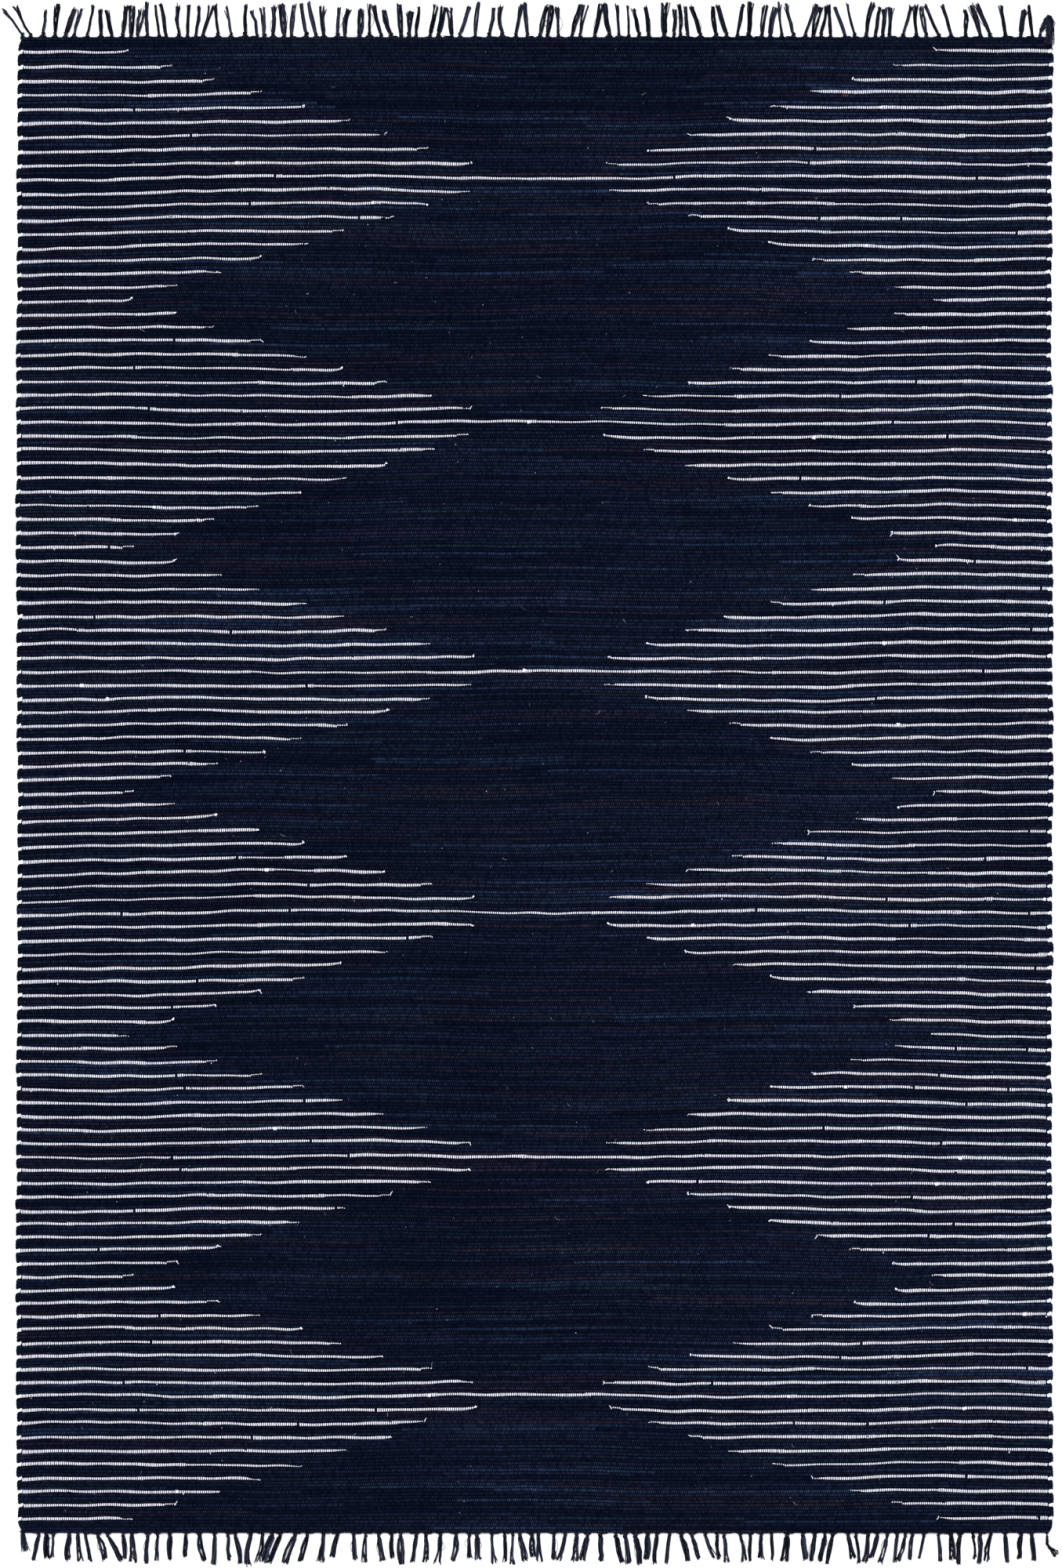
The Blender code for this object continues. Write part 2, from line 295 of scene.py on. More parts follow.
# %% [markdown]
# ## The navy cloth's finish
# The ground is dyed cotton rag. Each row is pieced from strips of different cloth, so its shade
# changes all at once where one strip ends and the next begins: ink, navy, blue, plum or teal. Warp
# threads cross it and leave small bars of rag showing, each next row half a step along.
#
# The finish reads a map made for it: its first number counts bars along a row, and its second
# counts rows. Whole numbers of the second tell the rows apart, and a White Noise node turns row
# and strip into a shade. The bars are 3.25 mm apart, their real size. The underside has no
# modelled bars, so there the pale rows are drawn by the same rule of steps.

# %% Navy rag cloth: woven, unglazed cotton, which scatters light and hardly shines
RAG_BARS = 92.0  # the usual strip is about 0.30 m long
FOLD_BARS = 31.0  # it folds and bunches differently every 0.1 m
WRINKLE_SCALE = (0.11, 7.3)  # along a row wrinkles are about 30 mm long, and no two rows share them; they bump the cloth, and their rise and fall is painted into its colour as light and shade
DYE_LOT_SCALE = 3.0  # the dye took a little more in some places, over 0.3 m or so
FUZZ_SCALE = 760.0  # fuzz about 1.3 mm across, which is the finest that shows from above
PAINTED_LIGHT_FALLOFF = 0.17  # painted light: the rug's side towards +X is painted this much lighter, the other side as much darker, as if the light fell off across the rug
RAG_SHADES = (  # how far along the chance each shade starts, and the shade
    (0.00, "#191E2E"), (0.20, "#1A2032"), (0.40, "#1B2135"), (0.54, "#1C1E31"),
    (0.62, "#18222F"), (0.72, "#161823"), (0.82, "#1D1B26"), (0.91, "#1A2439"),
)
DYE, PALE_RAG = "#01030E", "#E0E0E6"  # even the darkest gap keeps a little of the blue dye
BAR_EDGE, RIB_EDGE = (0.08, 0.36), (0.03, 0.30)  # where a bar and a rib begin, and are fully out; towards a rib's edge the colour is painted darker, as painted shade in the groove between two rows


def strip_chances(tree, across, row):
    """Random numbers for each strip of rag, and for each fold. Each row has its own start."""
    start = add(tree, "ShaderNodeTexWhiteNoise", {"W": row}, noise_dimensions="1D")
    shift = add(tree, MATHS, {0: start, 1: 11.0, 2: row}, operation="MULTIPLY_ADD")
    chances = []
    for bars in (RAG_BARS, FOLD_BARS):
        place = add(tree, MATHS, {0: across, 1: 1 / bars, 2: shift}, operation="MULTIPLY_ADD")
        whole = add(tree, MATHS, {0: place}, operation="FLOOR")
        cell = add(tree, "ShaderNodeCombineXYZ", {0: whole, 1: row})
        chance = add(tree, "ShaderNodeTexWhiteNoise", {0: cell}, out=None, noise_dimensions="2D")
        chances.append(chance)
    return chances


def pale_places(tree, across, row):
    """1 where a pale rag runs and 0 elsewhere, by the same steps as the modelled rows."""
    after_end = add(tree, MATHS, {0: row, 1: END_ROWS}, operation="SUBTRACT")
    number = add(tree, MATHS, {0: after_end, 1: NAVY_ROWS + 1}, operation="DIVIDE")
    rest = add(tree, MATHS, {0: number}, operation="FRACT")
    every_fourth = add(tree, MATHS, {0: rest, 1: 0.1}, operation="LESS_THAN")
    phase = add(tree, MATHS, {0: number, 1: FIRST_FULL}, operation="SUBTRACT")
    steps = add(tree, MATHS, {0: phase, 1: STRIPE_PERIOD / 2}, operation="PINGPONG")
    step_in = (STEP_LEFT + STEP_RIGHT) / 2 / BAR_PITCH
    longest = (SHORTEST_LEFT + SHORTEST_RIGHT) / 2 / BAR_PITCH + step_in * STRIPE_PERIOD / 2
    reach = add(tree, MATHS, {0: steps, 1: -step_in, 2: longest}, operation="MULTIPLY_ADD")
    out = add(tree, MATHS, {0: across}, operation="ABSOLUTE")
    inner = add(tree, MATHS, {0: WIDTH / 2 / BAR_PITCH, 1: reach}, operation="SUBTRACT")
    inside = add(tree, MATHS, {0: out, 1: inner}, operation="GREATER_THAN")
    full = add(tree, MATHS, {0: steps, 1: 0.5}, operation="LESS_THAN")
    there = add(tree, MATHS, {0: inside, 1: full}, operation="MAXIMUM")
    return add(tree, MATHS, {0: every_fourth, 1: there}, operation="MULTIPLY")


def navy_rag_cloth(name, draw_pale_rows):
    made, tree, shader = cotton(name, 0.93)
    chart = add(tree, "ShaderNodeUVMap", uv_map="weave")
    pair = add(tree, "ShaderNodeSeparateXYZ", {0: chart}, out=None)
    across, along = pair.outputs[0], pair.outputs[1]
    row = add(tree, MATHS, {0: along}, operation="FLOOR")
    where = add(tree, "ShaderNodeTexCoord", out=3)

    # Bars show between the warp threads, half a step along in every second row
    odd = add(tree, MATHS, {0: row, 1: 2.0}, operation="MODULO")
    step = add(tree, MATHS, {0: odd, 1: 0.5, 2: across}, operation="MULTIPLY_ADD")
    bar_number = add(tree, MATHS, {0: step}, operation="FLOOR")
    cell = add(tree, "ShaderNodeCombineXYZ", {0: bar_number, 1: row})
    bar_chance = add(tree, "ShaderNodeTexWhiteNoise", {0: cell}, noise_dimensions="2D")
    beside = add(tree, MATHS, {0: step, 1: 0.5}, operation="PINGPONG")
    bar = add(tree, "ShaderNodeMapRange", {0: beside, 1: BAR_EDGE[0], 2: BAR_EDGE[1], 3: 0.06},
              interpolation_type="SMOOTHSTEP")
    # Towards the groove between two rows the colour is painted darker, as painted shade, and the
    # bump sinks
    within = add(tree, MATHS, {0: along, 1: 0.5}, operation="PINGPONG")
    rib_and_groove_shade = add(tree, "ShaderNodeMapRange", {0: within, 1: RIB_EDGE[0], 2: RIB_EDGE[1]},
              interpolation_type="SMOOTHSTEP")
    shows = add(tree, MATHS, {0: bar, 1: rib_and_groove_shade}, operation="MULTIPLY")

    # Each strip has the shade of the cloth that it was cut from
    strip, fold = strip_chances(tree, across, row)
    ramp = add(tree, "ShaderNodeValToRGB", {0: strip.outputs[0]}, out=None)
    ramp.color_ramp.interpolation = "CONSTANT"
    stops = ramp.color_ramp.elements
    for (place, code), stop in zip(RAG_SHADES, [stops[0], stops[1]]):
        stop.position, stop.color = place, paint(code)
    for place, code in RAG_SHADES[2:]:
        stops.new(place).color = paint(code)

    # It is lighter and darker in places, by what is listed here: a chance, a noise or the place
    # across the rug, how much of it counts, and the level that it is added to. The wrinkles and the
    # place across the rug paint light and shade into the colour.
    own = add(tree, "ShaderNodeSeparateXYZ", {0: strip.outputs[1]}, out=None)
    stretched = add(tree, "ShaderNodeCombineXYZ", {
        0: add(tree, MATHS, {0: across, 1: WRINKLE_SCALE[0]}, operation="MULTIPLY"),
        1: add(tree, MATHS, {0: row, 1: WRINKLE_SCALE[1]}, operation="MULTIPLY"),
    })
    # The wrinkles bump the cloth and are also painted into its colour as light and shade
    wrinkle = add(tree, "ShaderNodeTexNoise", {"Vector": stretched, "Scale": 1.0, "Detail": 3.0})
    lot = add(tree, "ShaderNodeTexNoise", {"Vector": where, "Scale": DYE_LOT_SCALE, "Detail": 1.0})
    fuzz = add(tree, "ShaderNodeTexNoise", {"Vector": where, "Scale": FUZZ_SCALE, "Detail": 1.0})
    rag = ramp.outputs[0]
    for source, much, rest in (
        (fold.outputs[0], 0.24, 0.88), (wrinkle, 0.8, 0.50), (own.outputs[0], 0.96, 0.52),
        (across, PAINTED_LIGHT_FALLOFF * 2 * BAR_PITCH / WIDTH, 1.0), (lot, 0.93, 0.575), (fuzz, 3.0, -0.50),
        (bar_chance, 1.0, 0.50),
    ):
        change = add(tree, MATHS, {0: source, 1: much, 2: rest}, operation="MULTIPLY_ADD")
        rag = add(tree, VECTORS, {0: rag, "Scale": change}, operation="SCALE")

    # Slack rags hide the warp and show little of the bars, tight ones a lot
    tight = add(tree, MATHS, {0: own.outputs[1], 1: 0.56, 2: 0.42}, operation="MULTIPLY_ADD")
    least = add(tree, MATHS, {0: own.outputs[1], 1: -0.12, 2: 0.14}, operation="MULTIPLY_ADD")
    cover = add(tree, MATHS, {0: shows, 1: tight, 2: least}, operation="MULTIPLY_ADD")
    colour = add(tree, VECTORS, {0: rag, 1: cover, 2: paint(DYE)[:3]}, operation="MULTIPLY_ADD")
    if draw_pale_rows:
        there = pale_places(tree, across, row)
        pale = add(tree, MATHS, {0: there, 1: shows}, operation="MULTIPLY")
        colour = add(tree, "ShaderNodeMix", {0: pale, 6: colour, 7: paint(PALE_RAG)},
                     out=2, data_type="RGBA")

    height = add(tree, MATHS, {0: wrinkle, 1: 0.5, 2: shows}, operation="MULTIPLY_ADD")
    bump = add(tree, "ShaderNodeBump", {"Height": height, "Strength": 0.7, "Distance": 0.0006})
    tree.links.new(colour, shader.inputs["Base Color"])
    tree.links.new(bump, shader.inputs["Normal"])
    return made


NAVY = navy_rag_cloth("navy_rag_cloth", False)
NAVY_BACK = navy_rag_cloth("navy_rag_cloth_back", True)
print("navy cloth:", len(NAVY.node_tree.nodes), "nodes, its back", len(NAVY_BACK.node_tree.nodes))

# %% [markdown]
# ## The woven cloth
# The cloth is one closed sleeve: a grid of lines across the rug, bent round at both selvedges until
# its first and last columns meet, with a face over each end. Every row of rag has three lines, a
# groove and two shoulders, so it stands up as a rib. At the selvedges each row bulges as the rag
# turns back round the last warp thread, and the pale rows sit a little further in.
#
# The ribs could come from a Displace modifier on a fine grid, but that needs several times as
# many faces, and the rows would lose their crisp borders.

# %% Lines across the cloth
GROOVE = 0.0011  # how deep the border between two rows lies
PALE_BED = 0.0005  # under the pale bars the ground lies lower
ROW_LINES = ((0.0, 0.0), (0.26, 1.0), (0.74, 1.0))  # share of the row's width, and its height
TURN_BULGE = 0.0003  # how far a turning rag stands out at the selvedge
BLOCK_BULGE = 0.0012  # and the three navy turns between two pale ones
TOP_COLUMNS, BACK_COLUMNS = 50, 12
END_COLUMNS = ((0.0016, 0.0045), (0.0, 0.0027), (0.0016, 0.0010))  # inwards, and up, at a selvedge
EDGE_INSET, BACK_INSET = 0.0046, 0.0040
BACK_LIFT, BACK_GROOVE = 0.0002, 0.0007  # the back's ribs above the floor, and its grooves' depth
DRIFT, RELIEF = 0.00022, 0.00012  # how far a row strays up or down, and swells

waves = np.random.default_rng(31)
DRIFT_RATE = waves.uniform(7, 24, (ROWS + 1, 2))
DRIFT_START = waves.uniform(0, 2 * math.pi, (ROWS + 1, 2))
RELIEF_RATE = waves.uniform(9, 30, (ROWS + 1, 2))
ROW_LIFT = waves.uniform(-0.0002, 0.0002, ROWS + 1)


def row_drift(row, x):
    """How far a row lies from its usual place, because rags are thick and thin."""
    turns = DRIFT_RATE[row] * x[..., None] + DRIFT_START[row]
    return DRIFT * np.sin(turns).sum(-1)


def row_relief(row, x):
    """How much thicker a row is at this place."""
    turns = RELIEF_RATE[row] * x[..., None] + DRIFT_START[row][..., ::-1]
    return ROW_LIFT[row] + RELIEF * np.sin(turns).sum(-1)


numbers = np.append(np.repeat(np.arange(ROWS), len(ROW_LINES)), ROWS)
shares, crests = (np.append(np.tile(part, ROWS), 0.0) for part in zip(*ROW_LINES))
heights = np.interp(numbers + shares, np.arange(ROWS + 1), BORDERS)
block, row_in_block = np.divmod(numbers - END_ROWS, NAVY_ROWS + 1)
is_pale = (numbers >= END_ROWS) & (numbers < ROWS - END_ROWS) & (row_in_block == 0)
in_block = (block >= 0) & (block < STRIPES - 1) & (row_in_block > 0)
down_block = np.where(in_block, (row_in_block - 1 + shares) / NAVY_ROWS, 0.0)
edges = []
for side in (0, 1):
    plump = waves.uniform(0.45, 1.45, STRIPES + 2)[block + 1]
    out = plump * BLOCK_BULGE * np.sqrt(4 * down_block * (1 - down_block))
    out = out + TURN_BULGE * (2 * crests - 1)
    out -= NOTCH * is_pale * crests + corner_draw(2 * side - 1, heights)
    edges.append(np.interp(heights, EDGE_Y, EDGE_X[:, side]) + (2 * side - 1) * out)
low, high = edges
print("lines across the cloth:", len(heights))


# %% Points of the sleeve
def sleeve_points():
    """Every line's points, round the whole sleeve: the top, a selvedge, the back, a selvedge."""
    lines, x, z = len(heights), [], []
    crest = THICKNESS - GROOVE * (1 - crests) - PALE_BED * is_pale * crests
    for share in np.linspace(0, 1, TOP_COLUMNS):
        here = low + EDGE_INSET + share * (high - low - 2 * EDGE_INSET)
        x.append(here)
        z.append(crest + row_relief(numbers, here) * crests)
    for inwards, up in END_COLUMNS:
        x.append(high - inwards)
        z.append(np.full(lines, up))
    for share in np.linspace(1, 0, BACK_COLUMNS):
        x.append(low + BACK_INSET + share * (high - low - 2 * BACK_INSET))
        z.append(BACK_LIFT + BACK_GROOVE * (1 - crests))
    for inwards, up in reversed(END_COLUMNS):
        x.append(low + inwards)
        z.append(np.full(lines, up))
    x, z = np.stack(x + x[:1], 1), np.stack(z + z[:1], 1)
    y = heights[:, None] + row_wander(x, heights[:, None])
    inner = ((heights < LENGTH / 2) & (heights > -LENGTH / 2))[:, None]
    return np.stack([x, y + inner * row_drift(numbers[:, None].repeat(x.shape[1], 1), x), z], 2)


points = sleeve_points()
columns = points.shape[1] - 1
print("points round the sleeve:", columns)

# %% Bend the grid, merge its seam and close its ends
bm = bmesh.new()
bm.loops.layers.uv.new("weave")
bmesh.ops.create_grid(
    bm, x_segments=columns, y_segments=len(points) - 1, size=1.0, calc_uvs=True
)
for vert, place in zip(bm.verts, points.reshape(-1, 3).tolist()):
    vert.co = place
seam = [edge.verts[0] for edge in bm.edges if edge.is_boundary]
bmesh.ops.remove_doubles(bm, verts=seam, dist=1e-7)
rims = [edge for edge in bm.edges if edge.is_boundary]
bmesh.ops.holes_fill(bm, edges=rims, sides=0)
bmesh.ops.recalc_face_normals(bm, faces=bm.faces)
cloth_mesh = bpy.data.meshes.new("woven_cloth")
bm.to_mesh(cloth_mesh)
bm.free()
print("sleeve:", len(cloth_mesh.polygons), "faces,", len(rims), "edges round its two ends")

# %% Maps for the weave and for baking, and the two finishes
TOP_SHARE, SIDE_SHARE, BACK_SHARE = 0.70, 0.02, 0.22  # of the baking map's height
MARGIN = 0.002  # left free at the map's edges
CAP_AT, CAP_STEP, CAP_HEIGHT = 0.970, 0.014, 0.01  # the faces over the ends have a strip each
corner = np.empty(len(cloth_mesh.loops) * 2, np.float32)
cloth_mesh.uv_layers["weave"].uv.foreach_get("vector", corner)
corner = corner.reshape(-1, 2)
vertex = np.empty(len(cloth_mesh.loops), np.int32)
cloth_mesh.loops.foreach_get("vertex_index", vertex)
place = np.empty(len(cloth_mesh.vertices) * 3, np.float32)
cloth_mesh.vertices.foreach_get("co", place)
place = place.reshape(-1, 3)[vertex]
faces_at, sizes = (np.empty(len(cloth_mesh.polygons), np.int32) for _ in range(2))
cloth_mesh.polygons.foreach_get("loop_start", faces_at)
cloth_mesh.polygons.foreach_get("loop_total", sizes)

column = np.rint(corner[:, 0] * columns).astype(int)
line = np.rint(corner[:, 1] * (len(points) - 1)).astype(int)
on_cap = np.repeat(sizes > 4, sizes)
line[on_cap] = np.where(place[on_cap, 1] > 0, 0, len(points) - 1)
bars_across = np.interp(place[:, 0], STATIONS, BAR_NUMBERS)
set_map(cloth_mesh, "weave", np.stack([bars_across, (numbers + shares)[line]], 1))

stops = [0, TOP_COLUMNS - 1, TOP_COLUMNS + len(END_COLUMNS), columns - len(END_COLUMNS) - 1, columns]
levels = np.cumsum([0.0, TOP_SHARE, SIDE_SHARE, BACK_SHARE, SIDE_SHARE])
baking = np.stack([
    MARGIN + (1 - 2 * MARGIN) * (LENGTH / 2 - heights[line]) / LENGTH,
    MARGIN + np.interp(column, stops, levels),
], 1)
cap = place[on_cap]
baking[on_cap] = np.stack([
    0.01 + 0.98 * (cap[:, 0] / WIDTH + 0.5),
    CAP_AT + CAP_STEP * (cap[:, 1] > 0) + CAP_HEIGHT * cap[:, 2] / THICKNESS,
], 1)
set_map(cloth_mesh, "OFBake", baking)

cloth_mesh.materials.append(NAVY)
cloth_mesh.materials.append(NAVY_BACK)
middle_column = np.add.reduceat(column, faces_at) / sizes
on_back = (middle_column > stops[2] - 1) & (middle_column < stops[3] + 1) & (sizes == 4)
cloth_mesh.polygons.foreach_set("material_index", on_back.astype(np.int32))
cloth = close_piece("woven_cloth", cloth_mesh, "navy_rag_cloth", "rug_cloth")
print("faces on the back:", int(on_back.sum()))

# %% [markdown]
# ## Copies of small shapes
# A pale row is hundreds of small bars of rag, and the rug has over thirty thousand of them. As
# objects they would be slow to draw and to export, so each small shape is made once with bmesh
# operators and its copies are joined into a few meshes with arrays. Every copy keeps a shade of its
# own, stored on its points, and its own square of the baking map. On the points that shade is also
# painted darker towards each shape's foot, as painted shade.


# %% A small shape as arrays
DRAWN_IN = 0.60  # a bar's top against its foot
PAINTED_BAR_FOOT_SHADE, PAINTED_LUMP_FOOT_SHADE = 0.12, 0.6  # painted shade: how much of the shade is left at the foot, where less light comes in
CELL_MARGIN = 0.06  # left free round each copy's square of the baking map


def shape_of(bm, foot=1.0):
    """A small shape's points, faces and unfolded map, ready to be copied. foot is how much of the
    shade is left at its foot as painted shade, where less light comes in; it rises to full at the
    top."""
    bmesh.ops.recalc_face_normals(bm, faces=bm.faces)
    bm.verts.index_update()
    chart = bm.loops.layers.uv.active
    made = {
        "points": np.array([vert.co for vert in bm.verts]),
        "painted_light": np.array([foot + (1 - foot) * (vert.co.z + 0.5) for vert in bm.verts]),
        "corners": np.array([loop.vert.index for face in bm.faces for loop in face.loops]),
        "sizes": np.array([len(face.verts) for face in bm.faces]),
        "chart": np.array([loop[chart].uv for face in bm.faces for loop in face.loops]),
    }
    bm.free()
    return made


def spot(subdivisions, plump=1.0):
    """A lump, for knots and turned ends. A low number for plump fills out its corners."""
    bm = bmesh.new()
    bm.loops.layers.uv.new("chart")
    bmesh.ops.create_icosphere(bm, subdivisions=subdivisions, radius=0.5, calc_uvs=True)
    for vert in bm.verts:
        vert.co = [0.5 * math.copysign(abs(2 * part) ** plump, part) for part in vert.co]
    # its foot is painted darker, as painted shade
    return shape_of(bm, foot=PAINTED_LUMP_FOOT_SHADE)


def pillow():
    """A bar of rag: a block of unit size whose top is drawn in on all sides."""
    bm = bmesh.new()
    bm.loops.layers.uv.new("chart")
    bmesh.ops.create_cube(bm, size=1.0, calc_uvs=True)
    top = [vert for vert in bm.verts if vert.co.z > 0]
    bmesh.ops.scale(bm, vec=(DRAWN_IN, DRAWN_IN, 1.0), verts=top)
    # its foot is painted darker, as painted shade
    return shape_of(bm, foot=PAINTED_BAR_FOOT_SHADE)


BAR, LUMP, FINE_LUMP, BIGHT = pillow(), spot(1), spot(2), spot(2, 0.62)
print("triangles: bar 12, lump", len(LUMP["sizes"]), "fine lump", len(FINE_LUMP["sizes"]))


# %% Joining the copies
def stand(shape, rows):
    """Copies of a shape. Each row gives x, y and z of the middle, the three sizes, a turn in the
    floor's plane in degrees, and a shade from 0 to 1."""
    rows = np.asarray(rows, float).reshape(-1, 8)
    x, y, z = np.moveaxis(shape["points"][None] * rows[:, None, 3:6], 2, 0)
    turn = np.radians(rows[:, 6, None])
    turned = [x * np.cos(turn) - y * np.sin(turn), x * np.sin(turn) + y * np.cos(turn), z]
    points = np.stack(turned, 2) + rows[:, None, :3]
    return {"shape": shape, "points": points, "shade": rows[:, 7], "length": rows[:, 4]}


def joined(name, batches, material, slot, *replaced):
    """One mesh from all the copies in the batches."""
    batches = [batch for batch in batches if len(batch["points"])]
    total = sum(len(batch["points"]) for batch in batches)
    side = math.ceil(math.sqrt(total))
    points, corners, sizes, shades, charts, strands = [], [], [], [], [], []
    offset = used = 0
    for batch in batches:
        shape, count = batch["shape"], len(batch["points"])
        each = len(shape["points"])
        points.append(batch["points"].reshape(-1, 3))
        firsts = offset + each * np.arange(count)
        corners.append((shape["corners"][None] + firsts[:, None]).ravel())
        sizes.append(np.tile(shape["sizes"], count))
        # each copy's own shade, times the painted shade towards its shape's foot
        shades.append((batch["shade"][:, None] * shape["painted_light"][None]).ravel())
        cell = used + np.arange(count)
        base = np.stack([cell % side, cell // side], 1)[:, None]
        inside = CELL_MARGIN + (1 - 2 * CELL_MARGIN) * shape["chart"][None]
        charts.append(((base + inside) / side).reshape(-1, 2))
        along = shape["chart"][None] * np.stack([np.ones(count), batch["length"]], 1)[:, None]
        strands.append(along.reshape(-1, 2))
        offset, used = offset + each * count, used + count
    points, corners, sizes = (np.concatenate(part) for part in (points, corners, sizes))
    mesh = bpy.data.meshes.new(name)
    mesh.vertices.add(len(points))
    mesh.vertices.foreach_set("co", points.astype(np.float32).ravel())
    mesh.loops.add(len(corners))
    mesh.loops.foreach_set("vertex_index", corners.astype(np.int32))
    mesh.polygons.add(len(sizes))
    mesh.polygons.foreach_set("loop_start", (np.cumsum(sizes) - sizes).astype(np.int32))
    mesh.update(calc_edges=True)
    set_map(mesh, "OFBake", np.concatenate(charts))
    set_map(mesh, "strand", np.concatenate(strands))
    shade = mesh.attributes.new("shade", "FLOAT", "POINT")
    shade.data.foreach_set("value", np.concatenate(shades).astype(np.float32))
    mesh.materials.append(material)
    return close_piece(name, mesh, slot, *replaced)


# %% [markdown]
# ## The off-white rags
# The pale rag is torn cotton sheeting, off-white and a little bluish beside the navy. It shows as
# upright bars between the warp threads. Its thickness changes where one strip joins the next, and
# some joins are knotted. At the selvedge the rag turns round the last warp thread in a plump loop,
# and inside the rug each part tapers off and ends in a small tuft.

# %% Off-white rag: washed, unglazed cotton sheeting, bright, with a fine crumpled surface
# The darker colour is painted shade at the bars' feet and in the creases, and the grey of darker
# lint; the brighter one is the rag's own off-white.
GREY_LINT_AND_PAINTED_SHADE, BRIGHT_RAG = "#66667F", "#E9E9F5"


def off_white_rag():
    made, tree, shader = cotton("off_white_rag", 0.88)
    shade = add(tree, "ShaderNodeAttribute", out=2, attribute_name="shade")
    where = add(tree, "ShaderNodeTexCoord", out=3)
    # Creases are 1 mm apart here, and finer ones are too small to show. They bump the surface, and
    # are also painted into its colour as light and shade.
    crease = add(tree, "ShaderNodeTexNoise", {"Vector": where, "Scale": 1000.0, "Detail": 2.0})
    painted_light = add(tree, MATHS, {0: crease, 1: 0.4, 2: -0.2}, operation="MULTIPLY_ADD")
    level = add(tree, MATHS, {0: shade, 1: painted_light}, operation="ADD", use_clamp=True)
    colour = add(tree, "ShaderNodeMix", {0: level, 6: paint(GREY_LINT_AND_PAINTED_SHADE), 7: paint(BRIGHT_RAG)},
                 out=2, data_type="RGBA")
    bump = add(tree, "ShaderNodeBump", {"Height": crease, "Strength": 0.4, "Distance": 0.0004})
    tree.links.new(colour, shader.inputs["Base Color"])
    tree.links.new(bump, shader.inputs["Normal"])
    return made


OFF_WHITE = off_white_rag()
print("off-white rag:", len(OFF_WHITE.node_tree.nodes), "nodes")

# %% Strips, joins and free ends of the pale rags
BAR_SHARE, BAR_LENGTH = 0.78, 0.0051  # a warp thread covers the rest of each bar's pitch
BAR_FOOT, BAR_TOP = 0.0038, THICKNESS + RIB_RISE
PLUMP = {-1: (0.29, 0.040), 1: (0.16, 0.13)}  # how much thicker at a selvedge, and how far in
EDGE_RISE = {-1: (-0.0003, 0.0010), 1: (-0.0003, 0.0013)}  # how far up a row may end at a selvedge
EDGE_REACH = 0.010
BAR_LEAN, LEAN_LOST = 2.0, 8.0  # degrees at the left selvedge, and how many less at the right one
THICK_RISE = 0.0006  # how much higher a rag of twice the thickness stands
STRIP_LENGTHS, OVERLAP = (0.07, 0.38), 0.012
THIN, USUAL, THIN_CHANCE = (0.62, 0.80), (0.86, 1.08), 0.15  # thickness against the usual bar's
BREAK_CHANCE, KNOT_CHANCE, NICK_CHANCE = 0.22, 0.16, 0.54  # at each join of two strips
SCRAP_CHANCE = 0.10  # in each part of a row
# Waves along a row, long and short: radians to the metre, and how much they change
SWELL_RATES, SWELL = ((16, 48), (60, 130)), (0.10, 0.06)  # of its thickness
STRAY_RATES, STRAY = ((7, 11), (22, 60), (70, 120)), (0.0009, 0.00042, 0.00022)  # of its height
FREE_ENDS = (  # distances from the tip, how thick and how far up a bar is there, and the tip's lean
    ((0.0, 0.014, 0.0165, 0.024), (0.36, 0.50, 0.78, 1.0), (0.0018, 0.0014, -0.0004, 0.0), 48.0),
    ((0.0, 0.010, 0.022, 0.030), (0.26, 0.62, 0.96, 1.0), (0.0013, 0.0006, 0.0, 0.0), 14.0),
    ((0.0, 0.003, 0.013, 0.020), (0.50, 0.62, 0.92, 1.0), (0.0030, 0.0016, 0.0004, 0.0), 8.0),
    ((0.0, 0.004, 0.009, 0.012), (0.62, 0.80, 0.96, 1.0), (0.0002, 0.0001, 0.0, 0.0), 0.0),
)
TAILS = 2  # the first two kinds end in a thin tail
TUFTS = (  # for each kind: how many scraps, how far they reach out and aside, and how large
    (2, 0.0015, 0.0004, 1.0), (1, 0.0010, 0.0002, 1.0),
    (3, 0.0018, 0.0009, 1.5), (7, 0.0034, 0.0010, 1.1),
)
KIND_CHOICES, RISE_CHOICES = (0, 0, 0, 1, 1, 2, 2, 3), (1, 1, 1, 0.5, -0.3)  # repeats are likelier
rags = random.Random(41)


def strips_along(start, end):
    """Where the strips of one row begin, each with how thick it is, how far up it lies, its lean,
    and whether the row breaks off there."""
    places = []
    x = start
    while x < end:
        thick = rags.uniform(*THIN) if rags.random() < THIN_CHANCE else rags.uniform(*USUAL)
        lift, lean = rags.gauss(0, 0.00035), rags.gauss(0, 4)
        places.append((x, thick, lift, lean, rags.random() < BREAK_CHANCE))
        x += rags.uniform(*STRIP_LENGTHS)
    return places


def strip_at(x, strips, pitch):
    """Thickness, lift and lean of the rag at x, or None where navy rag covers a join."""
    passed = [strip for strip in strips if strip[0] <= x] or strips[:1]
    begin, thick, lift, lean, breaks = passed[-1]
    if len(passed) > 1 and breaks and x - begin < pitch:
        return None
    if len(passed) > 1 and x - begin < OVERLAP:  # two strips lie over each other at a join
        thick = max(thick, passed[-2][1]) + 0.12
        lift = (lift + passed[-2][2]) / 2
    return thick, lift, lean


def free_end(left_over, kind, rise):
    """Thickness, lift and lean of a bar this far from a free end."""
    distances, sizes, lifts, lean = FREE_ENDS[kind]
    share = max(0.0, 1 - left_over / distances[2])
    return (float(np.interp(left_over, distances, sizes)),
            rise * float(np.interp(left_over, distances, lifts)), lean * min(1.0, 2 * share))


def drawn_waves(rates):
    """A wave within each range of rates: its own rate, and where it begins."""
    return [(rags.uniform(*pair), rags.uniform(0, 6)) for pair in rates]


def wave_at(x, sizes, waves):
    """The waves' sum at x."""
    return sum(size * math.sin(rate * x + begin) for size, (rate, begin) in zip(sizes, waves))


def near_selvedge(x, side, reach):
    """1 at a selvedge, and soon 0 further in."""
    return math.exp(-(WIDTH / 2 - side * x) / reach)


print("kinds of free ends:", len(FREE_ENDS))


